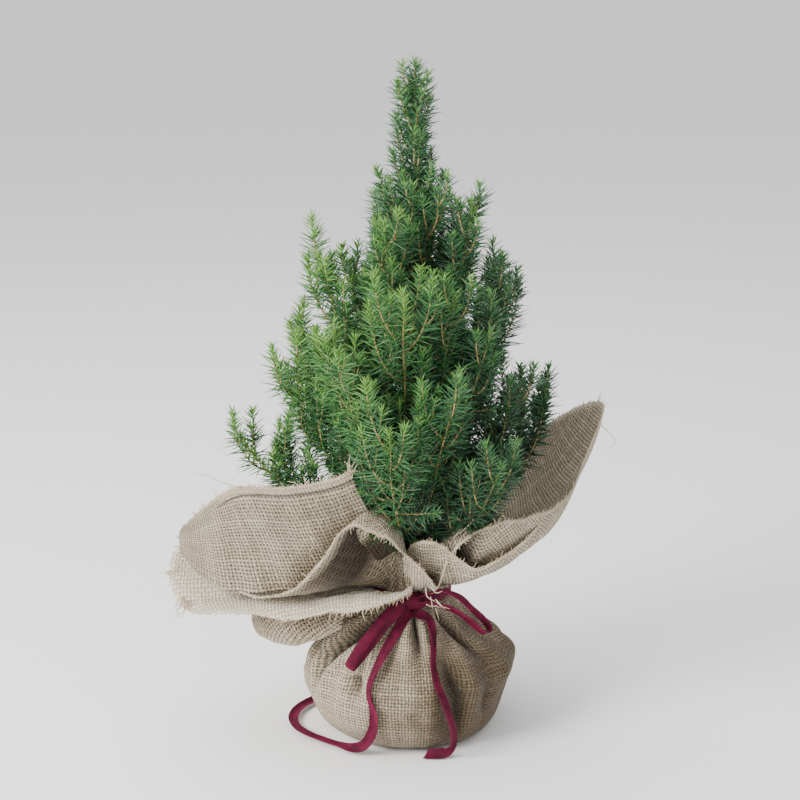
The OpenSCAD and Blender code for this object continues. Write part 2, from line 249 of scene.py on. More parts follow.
def weave_group():
    """Plain weave: threads over and under each other, with the gaps between them."""
    tree, start, end = group("plain_weave", [("Cloth place", "NodeSocketVector", None),
                                             ("Pitch", "NodeSocketFloat", 0.0023),
                                             ("Thread share", "NodeSocketFloat", 0.72),
                                             ("Wander", "NodeSocketFloat", 0.30)],
                             [("Height", "NodeSocketFloat"), ("Gap", "NodeSocketFloat"),
                              ("Tone", "NodeSocketFloat")])
    cells = vector(tree, "SCALE", start["Cloth place"], calc(tree, "DIVIDE", 1.0, start["Pitch"]))
    drift = put(tree, "ShaderNodeTexNoise", {"Vector": cells, "Scale": 0.22, "Detail": 3.0})
    drift = vector(tree, "SUBTRACT", drift.outputs[1], (0.5, 0.5, 0.5))
    fine = put(tree, "ShaderNodeTexNoise", {"Vector": cells, "Scale": 1.1, "Detail": 1.0})
    fine = vector(tree, "SUBTRACT", fine.outputs[1], (0.5, 0.5, 0.5))
    cells = vector(tree, "ADD", cells,
                   vector(tree, "SCALE", drift, calc(tree, "MULTIPLY", start["Wander"], 3.0)))
    cells = vector(tree, "ADD", cells, vector(tree, "SCALE", fine, start["Wander"]))
    split = put(tree, "ShaderNodeSeparateXYZ", {0: cells}).outputs
    across = [calc(tree, "FLOOR", split[k]) for k in (0, 1)]
    along = [calc(tree, "ABSOLUTE", calc(tree, "SUBTRACT", calc(tree, "FRACT", split[k]), 0.5))
             for k in (0, 1)]
    # a thread's own thickness and tone, different from thread to thread
    widths = []
    for k in (0, 1):
        own = put(tree, "ShaderNodeTexWhiteNoise", {"W": calc(tree, "ADD", across[k], 17.0 * k)},
                  noise_dimensions="1D").outputs[0]
        widths.append((own, calc(tree, "MULTIPLY", start["Thread share"],
                                 calc(tree, "MULTIPLY_ADD", own, 0.10, 0.40))))
    parity = calc(tree, "ABSOLUTE", calc(tree, "MODULO", calc(tree, "ADD", across[0], across[1]), 2.0))
    round_up = []
    for k in (0, 1):
        inside = calc(tree, "DIVIDE", along[k], widths[k][1])
        round_up.append(calc(tree, "SQRT", calc(tree, "SUBTRACT", 1.0, calc(tree, "MULTIPLY", inside, inside),
                                                clamp=True)))
    over = calc(tree, "MULTIPLY", round_up[0], calc(tree, "MULTIPLY_ADD", parity, 0.45, 0.55))
    under = calc(tree, "MULTIPLY", round_up[1], calc(tree, "MULTIPLY_ADD", parity, -0.45, 1.0))
    height = calc(tree, "MAXIMUM", over, under)
    tree.links.new(height, end["Height"])
    tree.links.new(step(tree, height, 0.12, 0.62, 1.0, 0.0), end["Gap"])
    first = calc(tree, "GREATER_THAN", over, under)
    tone = put(tree, "ShaderNodeMix", {0: first, 2: widths[1][0], 3: widths[0][0]},
               data_type="FLOAT").outputs[0]
    tree.links.new(tone, end["Tone"])
    return tree


GRAIN, WEAVE = grain_group(), weave_group()


# ---------------------------------------------------------------- finishes
def burlap_finish(name, hollows):
    """Loose jute cloth: pale worn threads, gaps painted near-black as painted shade seen through the weave,
    thread crowns painted lighter and their dips darker, and one brown stained patch low on the bag, darkened
    further as painted shade of the bag's shaded right side.

    `hollows` is how far the painted shade darkens the cloth where the `deep` attribute marks the bottom of a
    fold and the hollows under the arches.
    """
    made, tree, shader = material(name, 0.92, Specular_IOR_Level=0.12, Sheen_Weight=0.12, Sheen_Roughness=0.6)
    uv = put(tree, "ShaderNodeUVMap", uv_map="cloth").outputs[0]
    place = object_place(tree)
    weave = put(tree, "ShaderNodeGroup", {}, node_tree=WEAVE)
    tree.links.new(uv, weave.inputs["Cloth place"])
    weave.inputs["Pitch"].default_value = 0.0024
    weave.inputs["Thread share"].default_value = 0.80
    thread = blend_colour(tree, weave.outputs["Tone"], (0.36, 0.30, 0.20, 1), (0.50, 0.435, 0.32, 1))
    broad = speckle(tree, place, 22.0, 4)
    thread = blend_colour(tree, step(tree, broad, 0.35, 0.7), thread,
                          blend_colour(tree, 1.0, thread, (0.86, 0.83, 0.78, 1), "MULTIPLY"))
    fibres = speckle(tree, place, 900.0, 2)
    thread = blend_colour(tree, calc(tree, "MULTIPLY", step(tree, fibres, 0.4, 0.7), 0.3), thread,
                          (0.72, 0.62, 0.46, 1))
    shut = speckle(tree, place, 420.0, 2)
    gap = calc(tree, "MULTIPLY", weave.outputs["Gap"], step(tree, shut, 0.32, 0.62, 0.35, 1.0))
    # painted light and shade: thread crowns lighter, the dips where threads pass under darker
    rise = step(tree, weave.outputs["Height"], 0.45, 1.0, 0.72, 1.12)
    thread = put(tree, "ShaderNodeVectorMath", {0: thread, 3: rise}, operation="SCALE").outputs[0]
    # painted shade: the gaps between threads near-black, as the shaded inside seen through the open weave
    cloth = blend_colour(tree, gap, thread, (0.028, 0.020, 0.013, 1))
    # a brown stained patch low on the front right of the bag, darkened further as painted shade of the bag's
    # shaded right side
    spot = vector(tree, "SUBTRACT", place, (0.057, -0.044, 0.024))
    spot = vector(tree, "MULTIPLY", spot, (11.0, 7.5, 13.0))
    far = put(tree, "ShaderNodeVectorMath", {0: spot}, operation="LENGTH").outputs[1]
    far = calc(tree, "ADD", far,
               calc(tree, "MULTIPLY", calc(tree, "SUBTRACT", speckle(tree, place, 45.0, 4), 0.5), 0.9))
    stain_and_shade = calc(tree, "MULTIPLY", step(tree, far, 0.45, 1.15, 1.0, 0.0), 0.92)
    cloth = blend_colour(tree, stain_and_shade, cloth,
                         blend_colour(tree, 1.0, cloth, (0.22, 0.17, 0.11, 1), "MULTIPLY"))
    edge = attribute(tree, "edge")
    worn = calc(tree, "MULTIPLY", step(tree, edge, 0.2, 3.0, 1.0, 0.0), 0.6)
    cloth = blend_colour(tree, worn, cloth, (0.66, 0.58, 0.44, 1))
    hem = attribute(tree, "hem")
    drawn = calc(tree, "MULTIPLY", step(tree, edge, 5.4, 6.0), step(tree, edge, 7.0, 7.8, 1.0, 0.0))
    cloth = blend_colour(tree, calc(tree, "MULTIPLY", calc(tree, "MULTIPLY", drawn, hem), 0.75), cloth,
                         (0.06, 0.045, 0.03, 1))
    pale = calc(tree, "MULTIPLY", step(tree, edge, 5.2, 5.8, 1.0, 0.0), hem)
    cloth = blend_colour(tree, calc(tree, "MULTIPLY", pale, 0.55), cloth, (0.62, 0.52, 0.38, 1))
    # painted light: the lower lip of the flare paler, where the window light falls on it
    cloth = blend_colour(tree, attribute(tree, "bleach"), cloth, (0.74, 0.67, 0.56, 1))
    soft = attribute(tree, "shade")
    cloth = blend_colour(tree, soft, cloth,
                         blend_colour(tree, 1.0, cloth, (0.16, 0.115, 0.08, 1), "MULTIPLY"))
    # painted shade at the bottom of folds and in the hollows under the arches
    deep = calc(tree, "MULTIPLY", attribute(tree, "deep"), hollows, clamp=True)
    cloth = blend_colour(tree, deep, cloth,
                         blend_colour(tree, 1.0, cloth, (0.09, 0.065, 0.045, 1), "MULTIPLY"))
    tree.links.new(cloth, shader.inputs["Base Color"])
    bump(tree, shader, calc(tree, "ADD", weave.outputs["Height"], calc(tree, "MULTIPLY", fibres, 0.35)),
         0.0011, 0.9)
    return made


def jute_thread_finish():
    made, tree, shader = material("jute_thread", 0.9, Specular_IOR_Level=0.15, Sheen_Weight=0.2)
    place = object_place(tree)
    grain = put(tree, "ShaderNodeGroup", {}, node_tree=GRAIN)
    tree.links.new(place, grain.inputs["Place"])
    grain.inputs["Scale"].default_value = 1400.0
    grain.inputs["Dark"].default_value = (0.36, 0.27, 0.17, 1)
    grain.inputs["Light"].default_value = (0.68, 0.57, 0.41, 1)
    tree.links.new(grain.outputs["Colour"], shader.inputs["Base Color"])
    bump(tree, shader, grain.outputs["Height"], 0.0003)
    return made


def velvet_finish():
    """Burgundy velvet: short pile that catches light at its edges."""
    made, tree, shader = material("velvet_ribbon", 0.72, Specular_IOR_Level=0.2, Sheen_Weight=0.5,
                                  Sheen_Roughness=0.35, Sheen_Tint=(0.8, 0.08, 0.25, 1))
    place = object_place(tree)
    pile = speckle(tree, place, 1600.0, 2)
    brushed = speckle(tree, place, 130.0, 3)
    colour = blend_colour(tree, step(tree, brushed, 0.3, 0.72), (0.035, 0.001, 0.008, 1),
                          (0.115, 0.003, 0.026, 1))
    colour = blend_colour(tree, calc(tree, "MULTIPLY", pile, 0.3), colour, (0.17, 0.007, 0.045, 1))
    edge = attribute(tree, "edge")
    colour = blend_colour(tree, calc(tree, "MULTIPLY", step(tree, edge, 0.86, 0.97), 0.5), colour,
                          (0.035, 0.001, 0.006, 1))
    tree.links.new(colour, shader.inputs["Base Color"])
    bump(tree, shader, calc(tree, "ADD", pile, calc(tree, "MULTIPLY", brushed, 0.8)), 0.0005, 0.7)
    return made


def needle_finish():
    """Spruce green: darkest deep in the tree as painted shade, lighter at the outside and left front as
    painted light, bluish middle, yellow-green new tips.
    """
    made, tree, shader = material("spruce_needles", 0.36, Specular_IOR_Level=0.62, Sheen_Weight=0.05)
    place = object_place(tree)
    tone, own, along = (attribute(tree, key) for key in ("tone", "own", "along"))
    ramp = put(tree, "ShaderNodeValToRGB", {0: tone})
    stops = ramp.color_ramp
    stops.elements[0].position, stops.elements[0].color = 0.0, (0.004, 0.018, 0.008, 1)
    stops.elements[1].position, stops.elements[1].color = 1.0, (0.15, 0.34, 0.05, 1)
    for position, colour in ((0.3, (0.009, 0.050, 0.018, 1)), (0.55, (0.022, 0.105, 0.030, 1)),
                             (0.8, (0.055, 0.19, 0.045, 1))):
        stops.elements.new(position).color = colour
    green = ramp.outputs[0]
    blue = blend_colour(tree, calc(tree, "MULTIPLY", own, 0.30), green,
                        blend_colour(tree, 1.0, green, (1.1, 1.25, 1.9, 1), "MULTIPLY"))
    pale = blend_colour(tree, calc(tree, "MULTIPLY", step(tree, along, 0.45, 1.0), 0.35), blue,
                        blend_colour(tree, 1.0, blue, (2.3, 1.9, 1.6, 1), "MULTIPLY"))
    patch = speckle(tree, place, 26.0, 3)
    pale = blend_colour(tree, calc(tree, "MULTIPLY", step(tree, patch, 0.35, 0.65), 0.32), pale,
                        blend_colour(tree, 1.0, pale, (0.62, 0.72, 0.66, 1), "MULTIPLY"))
    tree.links.new(pale, shader.inputs["Base Color"])
    rough_value = put(tree, "ShaderNodeMapRange", {"Value": own, "To Min": 0.24, "To Max": 0.46}).outputs[0]
    tree.links.new(rough_value, shader.inputs["Roughness"])
    bump(tree, shader, speckle(tree, place, 2200.0, 1), 0.0002, 0.4)
    return made


def stem_finish():
    """Young shoots: tan skin with small leaf scars, browner and rougher towards the trunk."""
    made, tree, shader = material("spruce_stems", 0.75, Specular_IOR_Level=0.25)
    place = object_place(tree)
    age = attribute(tree, "age")
    scars = put(tree, "ShaderNodeTexVoronoi", {"Vector": place, "Scale": 900.0}).outputs[0]
    colour = blend_colour(tree, step(tree, age, 0.0, 0.5), (0.12, 0.075, 0.035, 1), (0.40, 0.29, 0.12, 1))
    colour = blend_colour(tree, step(tree, age, 0.85, 1.0), colour, (0.38, 0.42, 0.14, 1))
    colour = blend_colour(tree, step(tree, scars, 0.1, 0.4, 0.45, 0.0), colour, (0.10, 0.06, 0.03, 1))
    tree.links.new(colour, shader.inputs["Base Color"])
    bump(tree, shader, calc(tree, "ADD", scars, speckle(tree, place, 700.0, 3)), 0.0004, 0.8)
    return made


def bark_finish():
    made, tree, shader = material("trunk_bark", 0.88, Specular_IOR_Level=0.2)
    place = object_place(tree)
    tall = vector(tree, "MULTIPLY", place, (1.0, 1.0, 0.35))
    plates = put(tree, "ShaderNodeTexVoronoi", {"Vector": tall, "Scale": 260.0, "Randomness": 0.9},
                 feature="DISTANCE_TO_EDGE").outputs[0]
    grooves = step(tree, plates, 0.02, 0.16)
    colour = blend_colour(tree, grooves, (0.035, 0.022, 0.014, 1), (0.20, 0.125, 0.075, 1))
    colour = blend_colour(tree, calc(tree, "MULTIPLY", speckle(tree, place, 420.0, 5), 0.5), colour,
                          (0.30, 0.23, 0.16, 1))
    tree.links.new(colour, shader.inputs["Base Color"])
    bump(tree, shader, calc(tree, "ADD", grooves, speckle(tree, tall, 600.0, 4)), 0.0012)
    return made


def plain_finish(name, dark, light, scale, roughness, tooth=0.0003, **constants):
    """A moulded, turned or cast finish from the shared grain."""
    made, tree, shader = material(name, roughness, **constants)
    place = object_place(tree)
    grain = put(tree, "ShaderNodeGroup", {}, node_tree=GRAIN)
    tree.links.new(place, grain.inputs["Place"])
    grain.inputs["Scale"].default_value = scale
    grain.inputs["Dark"].default_value = (*dark, 1)
    grain.inputs["Light"].default_value = (*light, 1)
    tree.links.new(grain.outputs["Colour"], shader.inputs["Base Color"])
    gloss = put(tree, "ShaderNodeMapRange", {"Value": grain.outputs["Height"], "To Min": roughness - 0.08,
                                             "To Max": roughness + 0.1}).outputs[0]
    tree.links.new(gloss, shader.inputs["Roughness"])
    bump(tree, shader, grain.outputs["Height"], tooth)
    return made


def wood_finish():
    made, tree, shader = material("pole_wood", 0.6, Specular_IOR_Level=0.3)
    place = object_place(tree)
    along = vector(tree, "MULTIPLY", place, (1.0, 1.0, 0.06))
    rings = speckle(tree, along, 520.0, 5, 0.6, 0.6)
    colour = blend_colour(tree, step(tree, rings, 0.35, 0.65), (0.085, 0.050, 0.028, 1),
                          (0.19, 0.12, 0.07, 1))
    tree.links.new(colour, shader.inputs["Base Color"])
    bump(tree, shader, rings, 0.0003)
    return made


# two copies of the burlap: the first carries the painted shade of folds and hollows, the second, on the other
# side of the cloth, has none
BURLAP, BURLAP_INSIDE = burlap_finish("burlap", 1.0), burlap_finish("burlap_inside", 0.0)
JUTE, VELVET = jute_thread_finish(), velvet_finish()
NEEDLES, STEMS, BARK = needle_finish(), stem_finish(), bark_finish()
CAD_FINISHES = {
    "pot": plain_finish("pot_plastic", (0.045, 0.020, 0.012), (0.085, 0.040, 0.024), 500, 0.5),
    "ballast": plain_finish("ballast_cement", (0.26, 0.25, 0.23), (0.48, 0.46, 0.43), 380, 0.9, 0.001),
    "socket_tube": plain_finish("socket_plastic", (0.03, 0.03, 0.03), (0.07, 0.07, 0.07), 600, 0.45),
    "trunk_pole": wood_finish(),
    "bark_sleeves": BARK,
    "collar": plain_finish("collar_plastic", (0.012, 0.035, 0.016), (0.03, 0.075, 0.035), 700, 0.48),
    "hinge_pins": plain_finish("pin_steel", (0.45, 0.45, 0.46), (0.62, 0.62, 0.63), 1500, 0.32, 0.0001,
                               Metallic=1.0),
}
for name, obj in frame["nodes"].items():
    for start, finish in CAD_FINISHES.items():
        if name.startswith(start):
            obj.data.materials.clear()
            obj.data.materials.append(finish)


# ---------------------------------------------------------------- ribbon
RIBBON_W, TAIL_W, LOOP_W, RIBBON_T = 9.5, 7.2, 8.2, 0.8
KNOT = np.array([0.0, SIZES["ribbon_knot"][0].y / MM / 2 + SIZES["ribbon_knot"][1].y / MM / 2,
                 SIZES["ribbon_knot"][0].z / MM / 2 + SIZES["ribbon_knot"][1].z / MM / 2])
# down each tail: x, y, z, and how far the ribbon lies on its back
TAIL_LEFT = [[0, -33, 96, 0.2], [-2, -36, 94, 0.2], [-5, -38, 91, 0.4], [-10, -44.5, 85, 0.5],
             [-17, -55, 76, 0.3], [-23, -63.5, 67, 0.2], [-28, -69, 57, 0.1], [-29, -71, 47, 0],
             [-26, -73, 37, 0], [-26, -72, 26, 0], [-29, -69, 16, 0], [-34, -65, 8, 0.1],
             [-42, -60, 4, 0.5], [-51, -53, 3, 0.7], [-61, -46, 3, 0.7], [-72, -37, 3, 0.7],
             [-81, -26, 3, 0.7], [-85, -13, 3, 0.7], [-84, 0, 3, 0.7], [-79, 12, 3, 0.7],
             [-71, 22, 3, 0.7], [-62, 30, 3, 0.7]]
TAIL_RIGHT = [[1, -33, 97, 0.2], [4, -36, 94, 0.2], [9, -38, 92, 0.4], [12, -41, 90, 0.5],
              [14, -48, 83, 0.4], [14, -56, 76, 0.3], [14, -66, 66, 0.2], [17, -72, 55, 0.1],
              [22, -75, 43, 0], [26, -75, 30, 0], [28, -72, 18, 0], [27, -69, 9, 0.1],
              [21, -68, 4, 0.5], [9, -67, 2.5, 0.7]]
# round each bow loop, measured from the middle of the knot
LOOP_LEFT = [[-5, -5, 0], [-15, -11, -5], [-25, -19, -14], [-35, -26, -25], [-41, -30, -34],
             [-43, -29, -38], [-41, -26, -37], [-33, -23, -28], [-23, -18, -16], [-14, -12, -7],
             [-5, -6, -1]]
LOOP_RIGHT = [[5, -4, 4], [11, -5, 7], [19, -5, 9], [30, -3, 5], [39, 0, -4], [47, 3, -13],
              [53, 5, -21], [54, 4, -24], [50, 0, -24], [40, -2, -14], [27, -5, -4], [15, -7, 0],
              [5, -6, 0]]


def ribbon_strip(name, middle, across, ends_cut=0.0, width=RIBBON_W, closed=False, cup=0.35, ripple=0.15,
                 roll=None):
    """A flat ribbon along the middle line, its width along `across`, cupped, with rolled selvedges."""
    middle = np.asarray(middle, float)
    if closed:
        along = unit(np.roll(middle, -1, 0) - np.roll(middle, 1, 0))
    else:
        along = unit(np.gradient(middle, axis=0))
    across = unit(across - along * (across * along).sum(1, keepdims=True))
    if roll is not None:
        turn = np.radians(roll)[:, None]
        across = across * np.cos(turn) + np.cross(along, across) * np.sin(turn)
    face = np.cross(along, across)
    half, count = width / 2, 15
    places = np.linspace(-1, 1, count)
    points, edge = [], []
    for i in range(len(middle)):
        shift = ends_cut * max(0.0, 1 - i / 3) - ends_cut * max(0.0, 1 - (len(middle) - 1 - i) / 3)
        for side in (1, -1):
            for s in places if side == 1 else places[::-1]:
                thick = RIBBON_T / 2 * (0.82 + 0.3 * (abs(s) > 0.88)) * math.sqrt(max(0.02, 1 - abs(s) ** 9))
                wave = ripple * math.sin(i * 0.55 + s * 1.3) * abs(s)
                at = (middle[i] + across[i] * s * half
                      + face[i] * (side * thick + cup * (1 - s * s) - cup * 0.5 + wave)
                      + along[i] * shift * s * half)
                points.append(at)
                edge.append(abs(s))
    ring = 2 * count
    faces, rows = [], len(middle)
    for i in range(rows if closed else rows - 1):
        a, b = i * ring, (i + 1) % rows * ring
        for k in range(ring):
            faces.append((a + k, a + (k + 1) % ring, b + (k + 1) % ring, b + k))
    if not closed:
        faces += [tuple(range(ring))[::-1], tuple((rows - 1) * ring + k for k in range(ring))]
    mesh = mesh_from(name, points, faces)
    tag = mesh.attributes.new("edge", "FLOAT", "POINT")
    tag.data.foreach_set("value", edge)
    work = bmesh.new()
    work.from_mesh(mesh)
    bmesh.ops.recalc_face_normals(work, faces=work.faces)
    work.to_mesh(mesh)
    work.free()
    mesh.materials.append(VELVET)
    return add_object(name, mesh)


def lean_across(points):
    """The width direction of a tail from each point's lean, 0 flat to the bag and 1 flat on its back."""
    line = points[:, :3]
    along = unit(np.gradient(line, axis=0))
    out = unit(line * (1, 1, 0))
    face = unit(out * (1 - points[:, 3:4]) + np.array([0, 0, 1.0]) * points[:, 3:4])
    return unit(np.cross(along, face))


def make_ribbon_tail(name, table, steps, roll):
    """A tail, curled along its length, its face turned by `roll` degrees at even stations."""
    points = curve_through(table, steps)
    line = points[:, :3]
    roll = np.interp(np.linspace(0, 1, steps), np.linspace(0, 1, len(roll)), roll)
    tail = ribbon_strip(name, line, lean_across(points), ends_cut=0.5, width=TAIL_W, cup=1.7, ripple=0.1,
                        roll=roll)
    length = np.linalg.norm(np.diff(line, axis=0), axis=1).sum() * MM
    return tail, line * MM, float(length)


tail_left, route_left, length_left = make_ribbon_tail("ribbon_tail_left_velvet", TAIL_LEFT, 120,
                                                    (0, -8, 5, 48, 40, 8, 0, 20, 30, 26, 34, 30, 34, 26))
tail_right, route_right, length_right = make_ribbon_tail("ribbon_tail_right_velvet", TAIL_RIGHT, 80,
                                                       (0, -20, -42, -46, -44, -40, -40, -32, -18, -8))


def make_ribbon_loop(name, table, width_way):
    """A bow loop from the knot and back, its width along `width_way`."""
    line = curve_through(np.array(table) + KNOT, 70)
    across = np.tile(np.array(width_way, float), (len(line), 1))
    return ribbon_strip(name, line, across, width=LOOP_W, cup=0.8, ripple=0.25)


loop_left = make_ribbon_loop("ribbon_loop_left_velvet", LOOP_LEFT, (0.77, 0, -0.64))
loop_right = make_ribbon_loop("ribbon_loop_right_velvet", LOOP_RIGHT, (0.48, -0.7, 0.5))


def make_knot():
    """The wrap over the crossing: a short strap folded round, its pleats running down."""
    low, high = SIZES["ribbon_knot"]
    half = (high - low) / MM / 2
    t = np.linspace(0, 2 * math.pi, 40, endpoint=False)
    line = np.stack([0.10 * half.x * np.sin(2 * t), KNOT[1] - half.y * 0.95 * np.cos(t),
                     KNOT[2] - 0.5 + half.z * 1.12 * np.sin(t)], axis=1)
    across = np.tile((1.0, 0.0, 0.12), (len(t), 1))
    return ribbon_strip("ribbon_knot_velvet", line, across, width=2 * half.x * 0.94 + 7, closed=True,
                        cup=-0.9, ripple=0.45)


def make_band():
    """Two turns of ribbon pulled tight round the neck of the wrap."""
    low, high = SIZES["ribbon_band"]
    r, z = (high.x - low.x) / 2 / MM, (low.z + high.z) / 2 / MM
    t = np.linspace(0, 4 * math.pi, 170)
    radius = r - 0.25 + 0.3 * np.sin(t * 0.5 + 0.4) + 0.25 * np.sin(11 * t)
    height = z - 1.0 + 0.6 * np.sin(t * 0.5) + 0.3 * np.sin(5 * t)
    line = np.stack([radius * np.cos(t - 1.6), radius * np.sin(t - 1.6), height], axis=1)
    across = np.tile((0, 0, 1.0), (len(t), 1)) + 0.12 * np.sin(3 * t)[:, None] * np.array([1.0, 0.5, 0])
    return ribbon_strip("ribbon_band_velvet", line, across, width=high.z / MM - low.z / MM + 0.2, cup=0.4,
                        ripple=0.3)


knot, band = make_knot(), make_band()
for piece, node in ((tail_left, "ribbon_tail_left"), (tail_right, "ribbon_tail_right"),
                    (loop_left, "ribbon_loop_left"), (loop_right, "ribbon_loop_right"),
                    (knot, "ribbon_knot"), (band, "ribbon_band")):
    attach(piece, "base")
    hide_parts(node)


# ---------------------------------------------------------------- burlap wrap
# the flare's rim: azimuth in degrees, radius, height above the neck
RIM = [[0, 118, 80], [12, 139, 118], [29, 128, 102], [42, 119, 81], [57, 110, 65], [79, 98, 53],
       [99, 93, 50], [121, 93, 44], [141, 104, 36], [158, 124, 30], [170, 146, 30], [180, 163, 30],
       [188, 155, 18], [197, 135, 10], [207, 118, 5], [217, 102, 12], [225, 90, 32], [232, 80, 53],
       [243, 74, 58], [254, 70, 53], [264, 66, 43], [274, 62, 32], [282, 59, 20], [288, 56, 12],
       [294, 58, 30], [303, 66, 46], [314, 76, 55], [328, 90, 62], [340, 103, 62]]
# where the rim rolls over: azimuth, half width, size
ARCHES = ((247, 19, 1.0), (302, 9, 0.8))
CURL_RIM = [[262, 41, 25], [270, 48, 39], [280, 54, 44], [290, 57, 41], [300, 62, 31], [310, 70, 24],
            [322, 82, 34], [334, 94, 50]]
# slanting folds of the bag: depth, width, and the azimuths and heights they run through
HOOKS = [(18, 5, [(258, 89), (243, 87), (230, 82), (218, 73), (209, 59), (205, 40)]),
         (8, 6, [(236, 58), (238, 44)]), (9, 4.5, [(270, 92), (274, 81), (277, 69)]),
         (12, 5, [(300, 91), (311, 82), (319, 73), (325, 62)]),
         (8, 8, [(290, 66), (297, 42), (299, 12)]), (4, 7, [(312, 60), (318, 44), (320, 22)]),
         (7, 6, [(200, 86), (195, 64), (193, 42)]),
         (10, 6, [(120, 89), (135, 80), (146, 66), (150, 47)]), (8, 6, [(60, 90), (51, 77), (39, 62)]),
         (6, 8, [(90, 72), (87, 46), (92, 18)]), (9, 6, [(40, 89), (31, 77), (22, 62), (16, 45)]),
         (7, 8, [(168, 64), (172, 42), (168, 16)]), (6, 7, [(64, 50), (69, 30), (66, 12)]),
         (5, 7, [(122, 44), (126, 26), (121, 10)])]
# stations along the flap from its front to its tip, each from the top edge down to the foot
STANDING_FLAP = [
    [(-41, -62, 205), (-30, -52, 172), (-20, -40, 152), (-11, -24, 136)],
    [(-52, -64, 200), (-44, -56, 168), (-37, -44, 146), (-30, -27, 124)],
    [(-64, -65, 197), (-60, -57, 166), (-56, -48, 142), (-52, -38, 116)],
    [(-86, -65, 194), (-86, -55, 164), (-86, -50, 140), (-84, -52, 117)],
    [(-114, -60, 193), (-116, -48, 165), (-116, -44, 141), (-112, -50, 115)],
    [(-131, -48, 182), (-136, -38, 160), (-137, -37, 139), (-133, -43, 116)],
    [(-146, -34, 166), (-150, -27, 151), (-151, -27, 138), (-147, -33, 122)],
    [(-160, -18, 149), (-162, -15, 144), (-162, -15, 138), (-160, -19, 132)]]
UNDER_RIM = [[172, 148, 36], [181, 170, 18], [187, 170, 2], [191, 162, -8], [198, 140, -7],
             [206, 119, -6], [215, 102, -5], [227, 84, -1], [246, 67, 4], [260, 55, 6], [270, 46, 8]]
HANGING_RIM = [[150, 70, -12], [162, 96, -20], [176, 112, -30], [188, 110, -38], [202, 94, -38],
               [214, 76, -30], [222, 64, -22]]
# pleats at the neck: azimuth, size, width
FOLDS = [(8, 1.0, 5.5), (31, 0.8, 6), (52, 1.1, 6.5), (77, 0.9, 7), (99, 1.2, 6.5), (121, 0.8, 7),
         (143, 1.2, 7), (166, 0.9, 6), (184, 1.1, 5), (203, 1.5, 6.5), (221, 1.0, 5), (238, 1.3, 6),
         (255, 0.8, 4.5), (268, 1.2, 5), (284, 1.1, 5), (301, 1.4, 6.5), (319, 1.0, 5.5),
         (335, 1.4, 6), (350, 0.8, 5)]
# upright folds of the bag: azimuth, depth, width, lowest height, sideways drift
CREASES = [(226, 10, 7, 34, -4), (243, 6, 5, 62, 3), (257, 8, 5, 58, -2), (273, 6, 4, 70, 2),
           (285, 7, 5, 54, 4), (301, 7, 5, 50, -3), (317, 9, 6, 36, 5), (334, 6, 5, 56, -3),
           (352, 8, 6, 40, 3), (15, 6, 5, 55, -2), (38, 9, 7, 36, 4), (63, 6, 6, 52, -4),
           (88, 8, 6, 40, 3), (112, 6, 5, 58, 2), (135, 9, 7, 34, -4), (160, 6, 5, 52, 3),
           (182, 8, 6, 42, -2), (205, 7, 5, 50, 4)]
COLUMNS, BAG_ROWS, FLARE_ROWS = 300, 64, 56
NECK_R, BAG_R = 27, 78
FAR_FROM_EDGE = 99


def around(table, azimuth, column):
    """A table's value at an azimuth in degrees, smooth all the way round."""
    keys = np.array([row[0] for row in table], float)
    values = np.array([row[column] for row in table], float)
    keys = np.concatenate([keys - 360, keys, keys + 360])
    values = np.tile(values, 3)
    slope = np.gradient(values, keys) * 0.85
    k = np.clip(np.searchsorted(keys, azimuth, side="right") - 1, 0, len(keys) - 2)
    gap = keys[k + 1] - keys[k]
    t = (azimuth - keys[k]) / gap
    return ((2 * t ** 3 - 3 * t ** 2 + 1) * values[k] + (t ** 3 - 2 * t ** 2 + t) * gap * slope[k]
            + (3 * t ** 2 - 2 * t ** 3) * values[k + 1] + (t ** 3 - t ** 2) * gap * slope[k + 1])


def off_from(azimuth, at):
    """Degrees from `at`, from -180 to 180."""
    return (azimuth - at + 180) % 360 - 180


def gathers(azimuth):
    """The pleats at the neck: 1 on a ridge, -1 in a groove."""
    total = np.zeros_like(azimuth)
    for at, size, width in FOLDS:
        off = off_from(azimuth, at)
        total += size * np.exp(-(off / width) ** 2)
    return total * 1.35 - 0.75


def polar(azimuth, r, z):
    a = np.radians(azimuth)
    return np.stack([r * np.cos(a), r * np.sin(a), z], axis=-1)


def ring_noise(azimuth, spread, height, scale, seed):
    """Smooth noise round a ring, closing on itself."""
    return np.array([rough((math.cos(math.radians(a)) * spread, math.sin(math.radians(a)) * spread, height),
                           scale, seed) for a in azimuth])


def hooked(azimuth, z):
    """How far the cloth is drawn in along the slanting folds of the bag, with a swell beside each, and how
    dark the painted shade is along the bottom of each fold.
    """
    total, deep = np.zeros_like(azimuth), np.zeros_like(azimuth)
    for depth, width, path in HOOKS:
        off = off_from(azimuth, path[0][0])
        here = np.stack([off * 1.25, np.full_like(off, z)], axis=-1)
        line = np.array([((a - path[0][0]) * 1.25, h) for a, h in path])
        best, share = np.full_like(off, 1e3), np.zeros_like(off)
        for n, (a, b) in enumerate(zip(line[:-1], line[1:])):
            f = np.clip(((here - a) @ (b - a)) / np.dot(b - a, b - a), 0, 1)
            gap = here - a - f[:, None] * (b - a)
            far = np.linalg.norm(gap, axis=1) * np.where(gap[:, 0] < 0, 0.8, 1.15)
            share = np.where(far < best, (n + f) / (len(line) - 1), share)
            best = np.minimum(best, far)
        fade = np.clip(4 * share * (1 - share) + 0.12, 0, 1) ** 0.7
        total += depth * fade * (0.35 * np.exp(-((best - 2.1 * width) / (1.2 * width)) ** 2)
                                 - np.exp(-(best / width) ** 2))
        # painted shade along the bottom of each fold
        deep = np.maximum(deep, min(1.0, depth / 10) * fade * np.exp(-(best / (0.8 * width)) ** 2))
    return total, deep


